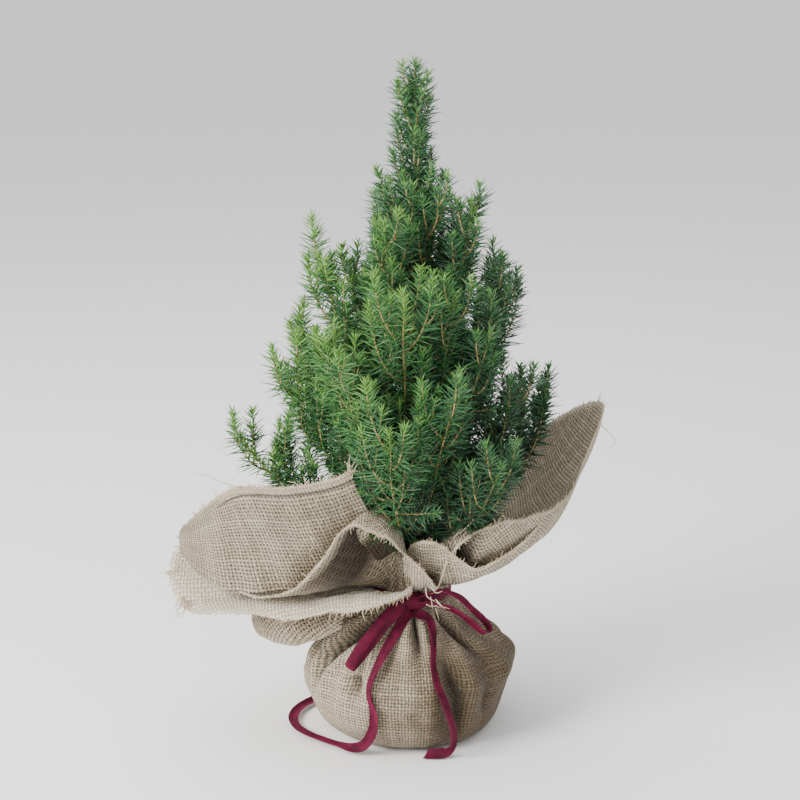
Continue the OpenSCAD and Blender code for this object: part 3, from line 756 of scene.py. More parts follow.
def bag_rows(azimuth):
    """The bag from the middle of its foot up to the neck, one row of points for each step, with the painted
    shade of its folds for each row.
    """
    rows, fold_shade = [], []
    for t in np.linspace(0, 1, 12, endpoint=False):
        rows.append(polar(azimuth, np.full_like(azimuth, 48 * t), np.full_like(azimuth, FOOT_Z + 0.9)))
        fold_shade.append(np.zeros_like(azimuth))
    lower = [(bezier(t, 48, 63, 74, 74), bezier(t, 0.9, 1.4, 13.6, 37.6))
             for t in np.linspace(0, 1, 24, endpoint=False)]
    upper = [(bezier(t, 74, 74, 46, 27), bezier(t, 37.6, 61.6, 82.6, 97.6))
             for t in np.linspace(0, 1, BAG_ROWS - 36)]
    for r, z in lower + upper:
        near = max(0.0, (z - 30) / 67)
        deep = 3.6 * near ** 1.3 * (1 - 0.45 * max(0.0, (z - 80) / 18))
        sway = 2.4 * ring_noise(azimuth, 1, z * 0.018, 1.7, 3.1) * min(1.0, z / 25) * (1 - near ** 3)
        small = 0.7 * ring_noise(azimuth, 3, z * 0.06, 1.4, 9.2) * min(1.0, z / 12)
        turn = 3.5 * math.sin(z * 0.05) * (1 - near)
        push = gathers(azimuth + turn) * deep
        for at, depth, width, low, drift in CREASES:
            part = min(1.0, max(0.0, (z - low) / (92 - low)))
            if part:
                off = off_from(azimuth, at + drift * (1 - part) * 2)
                fold = np.exp(-(off / (width * (1.35 - 0.55 * part))) ** 2)
                hump = np.exp(-((off - np.sign(drift) * width * 1.7) / (width * 1.3)) ** 2)
                near_neck = 1.0 if z < 88 else max(0.25, (99 - z) / 11)
                amount = math.sin(math.pi * min(1.0, part * 0.62 + 0.06)) * near_neck
                push = push + depth * amount * (0.45 * hump - fold)
        low = max(0.0, min(1.0, z / 50))
        # flatter low on the right, and a shoulder that falls away above
        cut = 30 * low * (1 - low) * np.exp(-(off_from(azimuth, 335) / 55) ** 2)
        right = np.exp(-(off_from(azimuth, 350) / 50) ** 2)
        cut = cut + right * (17 * math.exp(-((z - 78) / 15) ** 2) - 3 * math.exp(-((z - 48) / 12) ** 2))
        drawn, deep_here = hooked(azimuth, z)
        push = push * 0.6 + drawn * min(1.0, (98 - z) / 12) - cut
        # painted shade in the slanting folds and in the grooves of the neck pleats
        groove = np.clip(-gathers(azimuth + turn), 0, 1) * max(0.0, (z - 66) / 32)
        fold_shade.append(np.maximum(deep_here, 0.7 * groove))
        rows.append(polar(azimuth, r + push - (deep * 0.25) + sway + small, np.full_like(azimuth, z)))
    return rows, fold_shade


def flare_rows(azimuth, table, count, root=(24.5, -6.0), first=(25.6, 5.0), reach=0.86, lift=0.12,
               over=5.0, seed=0.0, curl=0.0, arch=()):
    """Cloth from inside the neck out to a rim, pleated at the neck and smooth at its edge."""
    rim_r, rise = around(table, azimuth, 1), around(table, azimuth, 2)
    ridge, turn, rows = gathers(azimuth), np.radians(azimuth), []
    over_hang = sum((size * np.exp(-((azimuth - at) / wide) ** 4) for at, wide, size in arch),
                    np.zeros_like(azimuth))
    for t in np.linspace(0, 1, count):
        r = bezier(t, root[0], first[0], rim_r * (reach - 0.58 * over_hang), rim_r)
        z = bezier(t, root[1], first[1] + 26 * over_hang, rise * lift + over + (rise + 10) * over_hang, rise)
        fade = (1 - t) ** 1.6
        sway = ring_noise(azimuth, 1 + 1.5 * t, 2 * t, 1.5, 5 + seed) * 7 * t * (1 - 0.75 * t)
        small = ring_noise(azimuth, 2 + 5 * t, 5 * t, 1.6, 1 + seed) * 1.1 * min(1, 3 * t)
        frill = 2.2 * np.sin(turn * 11 + 2.3 * np.sin(turn * 3 + seed)) * t ** 2 * (1 - 0.6 * t)
        bend = curl * max(0.0, t - 0.75) ** 2 * 16
        rows.append(polar(azimuth, r + ridge * 2.4 * fade * min(1, 4 * t + 0.5) - bend * 0.5,
                          NECK_Z + z + ridge * 3.2 * fade * t * 2.5 + sway + small + frill - bend))
    return rows


def cloth_grid(rows, closed, hem=0.0, shade=0.0, bleach=0.0):
    """A grid of cloth points, each with its distance from the rim and its marks."""
    grid = np.stack(rows)
    run = np.linalg.norm(np.diff(grid, axis=0), axis=2)
    edge = np.vstack([np.cumsum(run[::-1], axis=0)[::-1], np.zeros(grid.shape[1])])
    return {"grid": grid, "closed": closed, "edge": edge, "hem": hem, "shade": shade, "deep": 0.0,
            "bleach": bleach}


def strip_place(grid, across):
    """Where each point of an upright part lies on the flat square: `across` by column, height by row."""
    rise = np.linalg.norm(np.diff(grid, axis=0), axis=2).mean(axis=1)
    up = np.concatenate([[0], np.cumsum(rise)])
    return np.stack(np.broadcast_arrays(across[None, :], up[:, None]), axis=-1)


def disc_place(grid, azimuth, closed, shift=0.0):
    """Where each point of a flared part lies on the flat square, measured out from the neck.

    The distance out is smoothed over `wide` columns each way, so that the weave doesn't shear.
    """
    run = np.linalg.norm(np.diff(grid, axis=0), axis=2)
    out = NECK_R + np.vstack([np.zeros(grid.shape[1]), np.cumsum(run, axis=0)])
    wide = 9
    padded = np.pad(out, ((0, 0), (wide, wide)), mode="wrap" if closed else "edge")
    out = np.stack([padded[:, k:k + out.shape[1]] for k in range(2 * wide + 1)]).mean(axis=0)
    out = np.hstack([out, out[:, :1] if closed else out[:, -1:]])
    a = np.radians(np.append(azimuth, 2 * azimuth[-1] - azimuth[-2]))
    return np.stack([out * np.cos(a) + shift, out * np.sin(a)], axis=-1)


def join_cloth(name, patches):
    """One mesh from all the cloth patches, with the weave's UV map and the marks as attributes."""
    points, faces, uvs, start = [], [], [], 0
    tags = {"edge": [], "hem": [], "shade": [], "deep": [], "bleach": []}
    for patch in patches:
        rows, cols = patch["grid"].shape[:2]
        points.append(patch["grid"].reshape(-1, 3))
        for key, values in tags.items():
            values.append(np.broadcast_to(patch[key], (rows, cols)).ravel())
        for i in range(rows - 1):
            for k in range(cols if patch["closed"] else cols - 1):
                n = (k + 1) % cols
                faces.append((start + i * cols + k, start + i * cols + n, start + (i + 1) * cols + n,
                              start + (i + 1) * cols + k))
                flat = patch["out"] if "out" in patch and i >= patch["split"] else patch["flat"]
                uvs += [flat[i, k], flat[i, k + 1], flat[i + 1, k + 1], flat[i + 1, k]]
        start += rows * cols
    mesh = mesh_from(name, np.vstack(points), faces)
    layer = mesh.uv_layers.new(name="cloth")
    layer.data.foreach_set("uv", (np.array(uvs) * MM).ravel())
    for key, values in tags.items():
        tag = mesh.attributes.new(key, "FLOAT", "POINT")
        tag.data.foreach_set("value", np.concatenate(values).astype(np.float32))
    mesh.materials.append(BURLAP)
    mesh.materials.append(BURLAP_INSIDE)
    obj = add_object(name, mesh)
    work = bmesh.new()
    work.from_mesh(mesh)
    bmesh.ops.remove_doubles(work, verts=work.verts, dist=0.00001)
    work.to_mesh(mesh)
    work.free()
    return obj


def standing_flap():
    """The corner of cloth that stands up at the front left, hemmed along its top."""
    cols, rows = 118, 58
    lines = [curve_through([station[k] for station in STANDING_FLAP], cols) for k in range(4)]
    grid = []
    for t in np.linspace(1, 0, rows):
        row = bezier(t, *lines)
        a = np.linspace(0, 1, cols)
        lift = np.array([rough(p, 0.035, 3) * 3.5 + rough(p, 0.09, 6) * 1.2
                         for p in row]) * min(1.0, 2.5 * (1 - t))
        ribs = 1.3 * np.sin(a * 31 + 2 * np.sin(a * 9)) * t ** 2
        grid.append(row + np.stack([0 * a, lift + ribs, 0 * a], axis=1))
    hem = 1 - 0.99 * np.clip((np.linspace(0, 1, cols) - 0.62) / 0.1, 0, 1)
    u = np.concatenate([[0], np.cumsum(np.linalg.norm(np.diff(grid[rows // 2], axis=0), axis=1))])
    # painted shade: the whole flap a little darker, much darker at its lower front corner in the hollow under
    # the arch
    front, low = (np.clip(1 - np.linspace(0, 1, n) / 0.42, 0, 1) for n in (cols, rows))
    dark = front[None, :] * low[:, None]
    flap = cloth_grid(grid, False, hem, np.clip(dark * 4.0, 0.22, 1))
    flap["flat"] = strip_place(flap["grid"], np.append(u, u[-1] + 1) + 900)
    return flap


def make_body():
    """Bag, neck and flare in one closed sheet, with painted shade in its folds and hollows."""
    azimuth = np.arange(COLUMNS) * 360 / COLUMNS
    bag, fold_shade = bag_rows(azimuth)
    neck = [polar(azimuth, 26.0 + gathers(azimuth) * 0.9, np.full_like(azimuth, z))
            for z in (99.5, 101.5, 103.5)]
    flare = flare_rows(azimuth, RIM, FLARE_ROWS, arch=ARCHES)[4:]
    body = cloth_grid(bag + neck + flare, True)
    grid, count = body["grid"], len(flare)
    body["edge"][:BAG_ROWS] = FAR_FROM_EDGE
    # the weave runs straight up the bag and out from the neck on the flare
    body["flat"] = strip_place(grid, np.linspace(0, 2 * math.pi * BAG_R, COLUMNS + 1))
    body["split"], body["out"] = BAG_ROWS + 1, np.zeros((len(grid), COLUMNS + 1, 2))
    body["out"][BAG_ROWS + 1:] = disc_place(grid[BAG_ROWS + 1:], azimuth, True)
    shade, deep = np.zeros(grid.shape[:2]), np.zeros(grid.shape[:2])
    # shadow at the neck
    at_neck = np.concatenate([np.linspace(0.1, 1, 4), np.linspace(1, 0, 12)]) * 0.8
    shade[BAG_ROWS - 4:BAG_ROWS + 12] = at_neck[:, None]
    deep[:len(fold_shade)] = np.array(fold_shade)
    # painted shade in the hollows under the front arch and under the small one beside it, and inside the curl
    out = np.linspace(0, 1, count)[:, None]
    for at, wide, low in ((237, 20, 0.36), (302, 9, 0.0)):
        inside = np.exp(-((azimuth - at) / wide) ** 6)
        hollow = np.clip((0.985 - out) / 0.1, 0, 1) * np.clip((out - low) / 0.2, 0, 1) * inside
        deep[-count:] = np.maximum(deep[-count:], hollow)
    curled = 0.8 * np.clip((0.85 - out) / 0.3, 0, 1) * np.exp(-((azimuth - 307) / 11) ** 4)
    shade[-count:] = np.maximum(shade[-count:], curled)
    body["shade"], body["deep"] = shade, deep
    return body


def flared_patch(azimuth, rim, count, shift, root, shade=0.0, bleach=0.0, **shape):
    """An open part of the flare, drawn beside or under the main one."""
    patch = cloth_grid(flare_rows(azimuth, rim, count, root=root, **shape), False, shade=shade, bleach=bleach)
    patch["flat"] = disc_place(patch["grid"], azimuth, False, shift)
    return patch


def make_wrap():
    """The whole cloth, and the patches whose rims show their cut threads."""
    body, flap = make_body(), standing_flap()
    # the lower lip carries painted light
    under = flared_patch(np.linspace(172, 270, 96), UNDER_RIM, 34, 500, (23.5, -8.0), bleach=0.5,
                         first=(26, -1.0), reach=0.8, lift=0.35, over=7.0, seed=2.0, curl=3.0)
    hang = flared_patch(np.linspace(150, 222, 54), HANGING_RIM, 24, 900, (23.5, -8.0), shade=0.18,
                        first=(27, 0.0), reach=1.1, lift=0.1, over=2.0, seed=4.0, curl=-1.0)
    right = flared_patch(np.linspace(262, 334, 76), CURL_RIM, 32, 1300, (25.5, -5.0),
                         first=(30, 8.0), reach=0.95, lift=0.4, over=2.0, seed=7.0, curl=-2.0)
    return join_cloth("burlap_wrap_cloth", [body, under, hang, flap, right]), body, under, flap, right


wrap, body_patch, under_patch, flap_patch, right_patch = make_wrap()


def thread_tubes(name, lines, radius):
    """Thin tapering threads along the given lines."""
    points, faces, sides = [], [], 5
    for line, thick in zip(lines, radius):
        line = np.asarray(line, float)
        along = unit(np.gradient(line, axis=0))
        side = unit(np.cross(along, (0.31, 0.52, 0.79)))
        other = np.cross(along, side)
        base, rows = len(points), len(line)
        for i in range(rows):
            r = thick * (1 - 0.55 * i / (rows - 1)) * (1 + 0.18 * math.sin(i * 2.1))
            for k in range(sides):
                a = 2 * math.pi * k / sides
                points.append(line[i] + r * (math.cos(a) * side[i] + math.sin(a) * other[i]))
        for i in range(rows - 1):
            for k in range(sides):
                n = (k + 1) % sides
                faces.append((base + i * sides + k, base + i * sides + n, base + (i + 1) * sides + n,
                              base + (i + 1) * sides + k))
        faces += [tuple(base + k for k in range(sides))[::-1],
                  tuple(base + (rows - 1) * sides + k for k in range(sides))]
    mesh = mesh_from(name, points, faces)
    mesh.materials.append(JUTE)
    return add_object(name, mesh)


def edge_threads():
    """Cut ends along the rims, the pale cord of the outermost threads, and the long loose ones."""
    dice = np.random.default_rng(41)
    lines, radius = [], []
    for patch, reach in ((body_patch, 1.0), (under_patch, 0.9), (flap_patch, 0.8), (right_patch, 0.6)):
        rim, inner = patch["grid"][-1], patch["grid"][-4]
        count = len(rim)
        for k in range(count):
            for _ in range(2):
                f = dice.random()
                n = (k + 1) % count if patch["closed"] else min(k + 1, count - 1)
                root = rim[k] * (1 - f) + rim[n] * f
                out = unit(rim[k] - inner[k])
                way = unit(out + dice.normal(0, 0.34, 3))
                cut = dice.choice([1.6, 2.6, 4.0, 7.0], p=[0.38, 0.36, 0.2, 0.06])
                length = reach * cut * dice.uniform(0.7, 1.3)
                bend = dice.normal(0, 0.35, 3) - np.array([0, 0, 0.25])
                lines.append([root - out * 1.2, root + way * length * 0.5,
                              root + way * length + bend * length * 0.5])
                radius.append(dice.uniform(0.22, 0.38))
        for offset, thick in ((0.0, 0.62), (-1.6, 0.45)):
            path = rim + unit(rim - inner) * offset
            path = path + np.array([[rough(p, 0.12, 1 + j) for j in range(3)] for p in path]) * 0.5
            if patch["closed"]:
                path = np.vstack([path, path[:2]])
            lines.append(path)
            radius.append(thick)
    loose = [[[-113, -60, 193], [-124, -61, 196], [-136, -60, 201], [-147, -58, 203]],
             [[133, 18, 214], [139, 14, 209], [143, 12, 203], [138, 10, 199]],
             [[-43, -61, 164], [-34, -63, 168], [-26, -63, 167], [-20, -61, 168]],
             [[41, -59, 171], [38, -60, 167], [34, -60, 163], [27, -61, 158]],
             [[-68, -58, 158], [-66, -60, 152], [-69, -62, 148], [-64, -63, 141]],
             [[-160, -28, 104], [-164, -30, 98], [-162, -32, 92], [-166, -33, 88]],
             [[-156, -32, 102], [-157, -35, 96], [-160, -36, 90]],
             [[-42, -63, 204], [-42, -63, 209], [-45, -64, 212]],
             [[-39, -62, 204], [-37, -63, 209], [-34, -63, 210]],
             [[-41, -62, 203], [-39, -64, 206], [-36, -64, 205]],
             [[12, -64, 124], [16, -67, 121], [20, -69, 123]],
             [[9, -65, 124], [10, -69, 119], [15, -72, 117]]]
    for line in loose:
        lines.append(curve_through(line, 14))
        radius.append(0.42)
    for corner, way, count in (((-157, -30, 101), (-0.7, -0.35, -0.6), 12),
                               ((-166, -12, 116), (-0.9, -0.2, 0.1), 9),
                               ((-42, -62, 203), (0.1, -0.1, 1.0), 8),
                               ((15, -60, 112), (0.6, -0.4, -0.3), 6)):
        for _ in range(count):
            root = np.array(corner) + dice.normal(0, 2.2, 3)
            out = unit(np.array(way) + dice.normal(0, 0.3, 3)) * dice.uniform(4, 10)
            lines.append(curve_through([root, root + out * 0.5, root + out + dice.normal(0, 1.5, 3)], 7))
            radius.append(dice.uniform(0.28, 0.42))
    return thread_tubes("burlap_loose_threads", lines, radius)


threads = edge_threads()
shell = wrap.modifiers.new("thickness", "SOLIDIFY")
shell.thickness, shell.offset, shell.use_even_offset, shell.material_offset = 1.1 * MM, 0.0, False, 1
wrap = make_plain(wrap)
for piece in (wrap, threads):
    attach(piece, "base")
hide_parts("burlap_wrap")


# ---------------------------------------------------------------- foliage
NEEDLE = 13.5
GOLDEN = 2.4
TIP_THIN = 0.45
TURN_UP = 0.36
POLE_R = 6.5
FRONT = (3.7, 5.4)
# for each tier, a bough's side shoots and their length as a share of the bough's
TIERS = {"a": (13, 0.50), "b": (12, 0.46), "c": (11, 0.42), "d": (10, 0.40), "e": (9, 0.38)}


def foliage_tree():
    """Geometry nodes that clothe shoot lines: round stems, and needles winding up them.

    The shoot lines carry `thick`, `age` (0 at the root, 1 at the tip), `leaf`, `light`, `along_way`
    and `side_way`.
    """
    tree = bpy.data.node_groups.new("clothe_shoots", "GeometryNodeTree")
    face = tree.interface
    face.new_socket("Geometry", in_out="INPUT", socket_type="NodeSocketGeometry")
    for label, kind, value in (("Needle spacing", "NodeSocketFloat", 0.00040),
                               ("Needle length", "NodeSocketFloat", NEEDLE * MM),
                               ("Needle width", "NodeSocketFloat", 0.00054),
                               ("Angle at root", "NodeSocketFloat", 1.12),
                               ("Angle at tip", "NodeSocketFloat", 0.62),
                               ("Share kept", "NodeSocketFloat", 0.9),
                               ("Seed", "NodeSocketInt", 1), ("Needle finish", "NodeSocketMaterial", None),
                               ("Stem finish", "NodeSocketMaterial", None)):
        socket = face.new_socket(label, in_out="INPUT", socket_type=kind)
        if value is not None:
            socket.default_value = value
    face.new_socket("Geometry", in_out="OUTPUT", socket_type="NodeSocketGeometry")
    start = tree.nodes.new("NodeGroupInput").outputs

    def named(name, kind="FLOAT"):
        return put(tree, "GeometryNodeInputNamedAttribute", {"Name": name}, data_type=kind).outputs[0]

    def dice(low, high, seed):
        return put(tree, "FunctionNodeRandomValue",
                   {2: low, 3: high, "Seed": calc(tree, "ADD", start["Seed"], seed)},
                   data_type="FLOAT").outputs[1]

    age = named("age")
    curve = put(tree, "GeometryNodeMeshToCurve", {0: start["Geometry"]}).outputs[0]
    # stems
    fine = put(tree, "GeometryNodeResampleCurve", {"Curve": curve, "Length": 0.003}, mode="LENGTH").outputs[0]
    ring = put(tree, "GeometryNodeCurvePrimitiveCircle", {"Resolution": 6, "Radius": 1.0}).outputs[0]
    stems = put(tree, "GeometryNodeCurveToMesh",
                {"Curve": fine, "Profile Curve": ring, "Scale": named("thick"),
                                                  "Fill Caps": True}).outputs[0]
    stems = put(tree, "GeometryNodeSetMaterial",
                {"Geometry": stems, "Material": start["Stem finish"]}).outputs[0]
    # one needle, a metre long and lying up Z, bent a little
    needle = put(tree, "GeometryNodeCurvePrimitiveLine", {"Start": (0, 0, 0), "End": (0, 0, 1)}).outputs[0]
    needle = put(tree, "GeometryNodeResampleCurve", {"Curve": needle, "Count": 3}, mode="COUNT").outputs[0]
    share = tree.nodes.new("GeometryNodeSplineParameter").outputs[0]
    needle = put(tree, "GeometryNodeStoreNamedAttribute",
                 {"Geometry": needle, "Name": "along", "Value": share},
                 data_type="FLOAT", domain="POINT").outputs[0]
    bend = put(tree, "ShaderNodeCombineXYZ",
               {0: calc(tree, "MULTIPLY", calc(tree, "MULTIPLY", share, share), 0.11)})
    needle = put(tree, "GeometryNodeSetPosition", {"Geometry": needle, "Offset": bend.outputs[0]}).outputs[0]
    body = calc(tree, "SUBTRACT", 1.0, calc(tree, "POWER", share, 2.6))
    body = calc(tree, "MULTIPLY", calc(tree, "MAXIMUM", body, 0.08),
                calc(tree, "MULTIPLY_ADD", share, 0.3, 0.85))
    width = calc(tree, "DIVIDE", start["Needle width"], start["Needle length"])
    small = put(tree, "GeometryNodeCurvePrimitiveCircle", {"Resolution": 3, "Radius": 1.0}).outputs[0]
    needle = put(tree, "GeometryNodeCurveToMesh", {"Curve": needle, "Profile Curve": small,
                                                   "Scale": calc(tree, "MULTIPLY", body, width)}).outputs[0]
    # places up the shoots
    points = put(tree, "GeometryNodeResampleCurve", {"Curve": curve, "Length": start["Needle spacing"]},
                 mode="LENGTH").outputs[0]
    along = vector(tree, "NORMALIZE", named("along_way", "FLOAT_VECTOR"))
    side = vector(tree, "NORMALIZE", named("side_way", "FLOAT_VECTOR"))
    third = vector(tree, "CROSS_PRODUCT", along, side)
    turn = calc(tree, "ADD",
                calc(tree, "MULTIPLY", tree.nodes.new("GeometryNodeInputIndex").outputs[0], 2.39996),
                dice(-0.35, 0.35, 5))
    lean = put(tree, "ShaderNodeMapRange",
               {"Value": calc(tree, "POWER", age, 4.0), "To Min": start["Angle at root"],
                                            "To Max": start["Angle at tip"]}).outputs[0]
    lean = calc(tree, "ADD", lean, dice(-0.2, 0.2, 7))
    outward = vector(tree, "ADD", vector(tree, "SCALE", side, calc(tree, "COSINE", turn)),
                     vector(tree, "SCALE", third, calc(tree, "SINE", turn)))
    way = vector(tree, "ADD", vector(tree, "SCALE", along, calc(tree, "COSINE", lean)),
                 vector(tree, "SCALE", outward, calc(tree, "SINE", lean)))
    facing = put(tree, "FunctionNodeAlignRotationToVector", {"Vector": way}, axis="Z").outputs[0]
    spin = put(tree, "FunctionNodeAxisAngleToRotation",
               {"Axis": (0, 0, 1), "Angle": dice(0.0, 6.283, 11)}).outputs[0]
    facing = put(tree, "FunctionNodeRotateRotation", {"Rotation": facing, "Rotate By": spin},
                 rotation_space="LOCAL").outputs[0]
    length = calc(tree, "MULTIPLY", calc(tree, "MULTIPLY", start["Needle length"], named("leaf")),
                  dice(0.72, 1.08, 3))
    thick = calc(tree, "MULTIPLY", start["Needle length"], dice(0.85, 1.15, 4))
    size = put(tree, "ShaderNodeCombineXYZ", {0: thick, 1: thick, 2: length}).outputs[0]
    kept = calc(tree, "LESS_THAN", dice(0.0, 1.0, 9),
                calc(tree, "MULTIPLY", start["Share kept"],
                     calc(tree, "MULTIPLY_ADD", calc(tree, "POWER", age, 3.0), 0.45, 0.55)))
    leaves = put(tree, "GeometryNodeInstanceOnPoints",
                 {"Points": points, "Selection": kept, "Instance": needle,
                                                        "Rotation": facing, "Scale": size}).outputs[0]
    # new tips yellower, plus the painted light and shade from each shoot's light value
    fresh_and_lit = calc(tree, "ADD", calc(tree, "MULTIPLY", calc(tree, "POWER", age, 6.0), 0.40), named("light"))
    tone = calc(tree, "ADD", fresh_and_lit, dice(-0.1, 0.14, 15), clamp=True)
    for label, value in (("tone", tone), ("own", dice(0.0, 1.0, 21))):
        leaves = put(tree, "GeometryNodeStoreNamedAttribute",
                     {"Geometry": leaves, "Name": label, "Value": value},
                     data_type="FLOAT", domain="INSTANCE").outputs[0]
    leaves = put(tree, "GeometryNodeRealizeInstances", {"Geometry": leaves}).outputs[0]
    leaves = put(tree, "GeometryNodeSetMaterial",
                 {"Geometry": leaves, "Material": start["Needle finish"]}).outputs[0]
    both = tree.nodes.new("GeometryNodeJoinGeometry")
    tree.links.new(leaves, both.inputs[0])
    tree.links.new(stems, both.inputs[0])
    done = put(tree, "GeometryNodeSetShadeSmooth",
               {"Geometry": both.outputs[0], "Shade Smooth": True}).outputs[0]
    end = tree.nodes.new("NodeGroupOutput")
    tree.links.new(done, end.inputs[0])
    return tree


SHOOT_TREE = foliage_tree()


class Shoots:
    """The shoot lines of one body, with what each point knows."""

    def __init__(self, seed):
        self.points, self.edges = [], []
        self.tags = {key: [] for key in ("thick", "age", "leaf", "light", "along_way", "side_way")}
        self.dice = np.random.default_rng(seed)

    def line(self, points, thick, leaf=1.0, light=0.3, age=(0.0, 1.0)):
        """One shoot: its skin thins to the tip, and its needles shorten at both ends."""
        points = np.asarray(points, float)
        along = unit(np.gradient(points, axis=0))
        side = unit(np.cross(along, self.dice.normal(0, 1, 3)))
        start = len(self.points)
        n = len(points)
        for i, p in enumerate(points):
            f = i / (n - 1)
            own = age[0] + (age[1] - age[0]) * f
            s = unit(side[i] - along[i] * np.dot(side[i], along[i]))
            self.points.append(tuple(p))
            self.tags["thick"].append(thick * (1 - (1 - TIP_THIN) * f))
            self.tags["age"].append(own)
            self.tags["leaf"].append(leaf * (0.82 + 0.3 * math.sin(math.pi * min(1, own * 1.05))
                                             - 0.34 * own ** 6))
            self.tags["light"].append(light)
            self.tags["along_way"].append(tuple(along[i]))
            self.tags["side_way"].append(tuple(s))
        self.edges += [(start + i, start + i + 1) for i in range(n - 1)]

    def clothe(self, name, seed):
        """The lines as stems with needles, in one plain mesh."""
        mesh = bpy.data.meshes.new(name)
        mesh.from_pydata([tuple(c * MM for c in p) for p in self.points], self.edges, [])
        for key, values in self.tags.items():
            if key.endswith("_way"):
                tag = mesh.attributes.new(key, "FLOAT_VECTOR", "POINT")
                tag.data.foreach_set("vector", np.array(values, np.float32).ravel())
            else:
                values = np.array(values, np.float32) * (MM if key == "thick" else 1)
                tag = mesh.attributes.new(key, "FLOAT", "POINT")
                tag.data.foreach_set("value", values)
        obj = add_object(name, mesh)
        clothing = obj.modifiers.new("clothe", "NODES")
        clothing.node_group = SHOOT_TREE
        sockets = {s.name: s.identifier for s in SHOOT_TREE.interface.items_tree
                   if s.item_type == "SOCKET" and s.in_out == "INPUT"}
        clothing[sockets["Needle finish"]] = NEEDLES
        clothing[sockets["Stem finish"]] = STEMS
        clothing[sockets["Seed"]] = seed
        return make_plain(obj)


def light_at(p, tip_share):
    """How bright a shoot's needles are painted: painted shade deep in the tree, painted light at the outside
    and on the left front, towards the window.
    """
    out = math.hypot(p[0], p[1])
    reach = 16 + 112 * max(0.0, 1 - (p[2] - 120) / 350)
    left = -0.0022 * p[0] - 0.0008 * p[1] + 0.0008 * (p[2] - 240)
    return 0.13 + 0.32 * min(1.0, out / reach) ** 1.5 + 0.12 * tip_share + left


def side_shoots(shoots, main, count, length, lean, leaf, start=0.3, stop=0.86, upward=0.6, thick=0.72,
                twigs=0):
    """Smaller shoots leaving a main one on alternate sides, turning up towards the light."""
    dice, up = shoots.dice, np.array([0, 0, 1.0])
    for k in range(count):
        f = start + (stop - start) * (k + dice.uniform(0.1, 0.9)) / count
        i = int(f * (len(main) - 1))
        root = main[i]
        along = unit(main[min(i + 1, len(main) - 1)] - main[i - 1])
        out = unit(np.append(root[:2], 0.0)) if math.hypot(*root[:2]) > 6 else np.array([1.0, 0, 0])
        tangent = np.array([-out[1], out[0], 0])
        turn = k * GOLDEN + dice.uniform(-0.5, 0.5)
        away = unit(np.cos(turn) * tangent + np.sin(turn) * (0.7 * out + 0.3 * np.cross(along, tangent)))
        away = unit(away - along * np.dot(away, along) * 0.8)
        reach = length * dice.uniform(0.65, 1.2) * (1.15 - 0.6 * f)
        angle = lean * dice.uniform(0.75, 1.2)
        way = unit(along * math.cos(angle) + away * math.sin(angle))
        middle = root + way * reach * TURN_UP
        end = middle + unit(up * upward + way * (1 - upward)) * reach * (1.06 - TURN_UP)
        line = np.array([bezier(t, root, middle, end) for t in np.linspace(0, 1, 14)])
        shoots.line(line, thick, leaf, light_at(end, 0.8), age=(0.1, 1.0))
        if twigs:
            side_shoots(shoots, line, twigs, reach * 0.5, 0.8, leaf * 0.9, 0.25, 0.75, upward, thick * 0.7)


def bough_line(joint, node):
    """The bough's own curve, from its pin out and up to its tip."""
    pin = np.array(Vector(joint["pos_m"])) / MM
    radial = unit(pin * (1, 1, 0))
    tip = np.array(max(node.data.vertices, key=lambda v: v.co.z).co) / MM
    reach = float(np.dot(tip, radial))
    first = math.hypot(pin[0], pin[1])
    tip = radial * reach + np.array([0, 0, tip[2]])
    knee = radial * (first * 0.25 + reach * 0.75) + np.array([0, 0, pin[2] * 0.65 + tip[2] * 0.35])
    root = radial * first + np.array([0, 0, pin[2]])
    line = np.array([bezier(t, root, knee, tip) for t in np.linspace(0, 1, 60)])
    left = np.linalg.norm(np.diff(line[::-1], axis=0), axis=1).cumsum()[::-1]
    return curve_through(line[:-1][left > NEEDLE * 0.62], 40)


def grow_boughs():
    """Each hinged bough: its main shoot, side shoots along it, and a few short ones near its foot."""
    joints = [j for j in frame["joints"] if j["name"].startswith("bough_")]
    for number, joint in enumerate(sorted(joints, key=lambda j: j["name"])):
        name = joint["name"].replace("_fold", "")
        shoots = Shoots(700 + number)
        main = bough_line(joint, frame["nodes"][name])
        wander = np.array([[rough(p, 0.03, number + j * 7.3) for j in range(3)] for p in main])
        main = main + wander * 3.0 * np.linspace(0, 1, len(main))[:, None] ** 1.2
        run = np.linalg.norm(np.diff(main, axis=0), axis=1).sum()
        shoots.line(main, 1.1, 1.0, light_at(main[-1], 1.0))
        count, share = TIERS[name.split("_")[1][0]]
        side_shoots(shoots, main, count, run * share + 8, 0.95, 1.0, start=0.1, stop=0.9, upward=0.92,
                    twigs=1)
        side_shoots(shoots, main, 5, 30, 1.25, 0.95, start=0.12, stop=0.6, upward=0.15)
        piece = shoots.clothe(name + "_foliage", seed=number * 13 + 1)
        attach(piece, name)
        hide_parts(name)


def node_axis(name):
    """The line through a slender node, from its foot to its top."""
    co = np.array([tuple(v.co) for v in frame["nodes"][name].data.vertices]) / MM
    low, high = co[:, 2].min(), co[:, 2].max()
    line = []
    for f in np.linspace(0, 1, 6):
        z = low + (high - low) * f
        near = co[np.argsort(abs(co[:, 2] - z))[:14]]
        line.append([near[:, 0].mean(), near[:, 1].mean(), z])
    return curve_through(line, 30)


def shorter_in_front(azimuth, share):
    """1, or the given share for an inner shoot that points to the front, where the ribbon knot shows."""
    return share if FRONT[0] < azimuth % 6.283 < FRONT[1] else 1.0


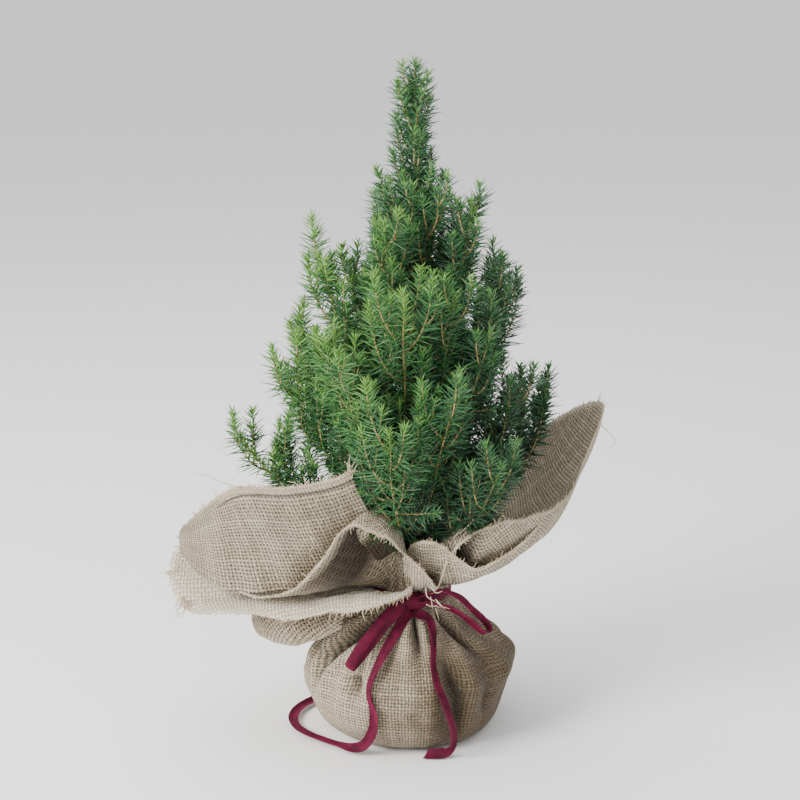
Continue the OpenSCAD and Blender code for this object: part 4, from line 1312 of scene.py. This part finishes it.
def grow_crown():
    """The leader, the top shoots and the short inner shoots that fill the middle."""
    shoots = Shoots(55)
    low, high = SIZES["leader"]
    leader = np.array([[1.5 * math.sin(z * 0.021), 1.2 * math.sin(z * 0.017 + 1), z]
                       for z in np.linspace(low.z / MM, high.z / MM - NEEDLE * 0.7, 50)])
    shoots.line(leader, 1.5, 0.95, 0.40)
    side_shoots(shoots, leader, 44, 46, 0.95, 0.95, start=0.0, stop=0.95, upward=0.75)
    nodes = ["leader"]
    for name in sorted(n for n in frame["nodes"] if n.startswith("top_shoot_")):
        line = node_axis(name)[:-3]
        shoots.line(line, 1.2, 0.98, light_at(line[-1], 1.0))
        side_shoots(shoots, line, 7, 30, 0.68, 0.92, start=0.1, upward=0.8)
        nodes.append(name)
    dice = shoots.dice
    # inner shoots get low light values: painted shade deep in the middle of the tree
    for k in range(14):
        a, z = k * GOLDEN + 0.4, NECK_Z + 14 + 1.1 * k
        reach = dice.uniform(30, 46) * shorter_in_front(a, 0.5)
        way = np.array([math.cos(a), math.sin(a), 0.0])
        line = np.array([bezier(t, way * POLE_R + (0, 0, z), way * reach * 0.7 + (0, 0, z + 2),
                                way * reach + (0, 0, z + dice.uniform(2, 12)))
                                for t in np.linspace(0, 1, 12)])
        shoots.line(line, 1.0, 0.95, 0.14)
    for k in range(26):
        a, z = k * GOLDEN, NECK_Z + 8 + 6.2 * k
        foot = np.array([POLE_R * math.cos(a), POLE_R * math.sin(a), z])
        reach = dice.uniform(22, 34) * (1 if z > 150 else min(0.9, shorter_in_front(a, 0.6)))
        tip = foot + np.array([reach * math.cos(a), reach * math.sin(a), reach * 0.9])
        line = np.array([bezier(t, foot, foot + (tip - foot) * (0.7, 0.7, 0.25), tip)
                         for t in np.linspace(0, 1, 12)])
        shoots.line(line, 1.0, 0.95, 0.06)
    piece = shoots.clothe("crown_foliage", seed=901)
    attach(piece, "tree")
    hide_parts(*nodes)


grow_boughs()
grow_crown()


# ---------------------------------------------------------------- floor and light
def make_floor():
    mesh = mesh_from("floor", [(-40, -40, 0), (40, -40, 0), (40, 40, 0), (-40, 40, 0)], [(0, 1, 2, 3)],
                     smooth=False, scale=1.0)
    made, tree, shader = material("pale_floor", 0.9, Specular_IOR_Level=0.1)
    shader.inputs["Base Color"].default_value = (0.97, 0.97, 0.97, 1)
    mesh.materials.append(made)
    floor = add_object("floor", mesh)
    floor.location.z = cad_box[0].z - 0.0002  # a hair below, so that nothing shares its plane


def lamp(name, place, size, power, colour=(1, 1, 1)):
    """A square soft light turned to the middle of the tree."""
    data = bpy.data.lights.new(name, "AREA")
    data.shape, data.size, data.energy, data.color = "SQUARE", size, power, colour
    obj = bpy.data.objects.new(name, data)
    obj.location = place
    obj.rotation_euler = (Vector((0, 0, 0.22)) - Vector(place)).to_track_quat("-Z", "Y").to_euler()
    bpy.context.scene.collection.objects.link(obj)


make_floor()
lamp("window", (-1.3, -0.9, 1.0), 0.8, 52, colour=(1.0, 0.98, 0.95))
lamp("ceiling", (-0.2, 0.3, 1.7), 1.4, 16)
lamp("fill", (1.5, -1.4, 0.5), 1.6, 1.5, colour=(0.93, 0.96, 1.0))
world = bpy.data.worlds.new("studio")
bpy.context.scene.world = world
world.use_nodes = True
world.node_tree.nodes["Background"].inputs[0].default_value = (1, 1, 1, 1)
world.node_tree.nodes["Background"].inputs[1].default_value = 1.0
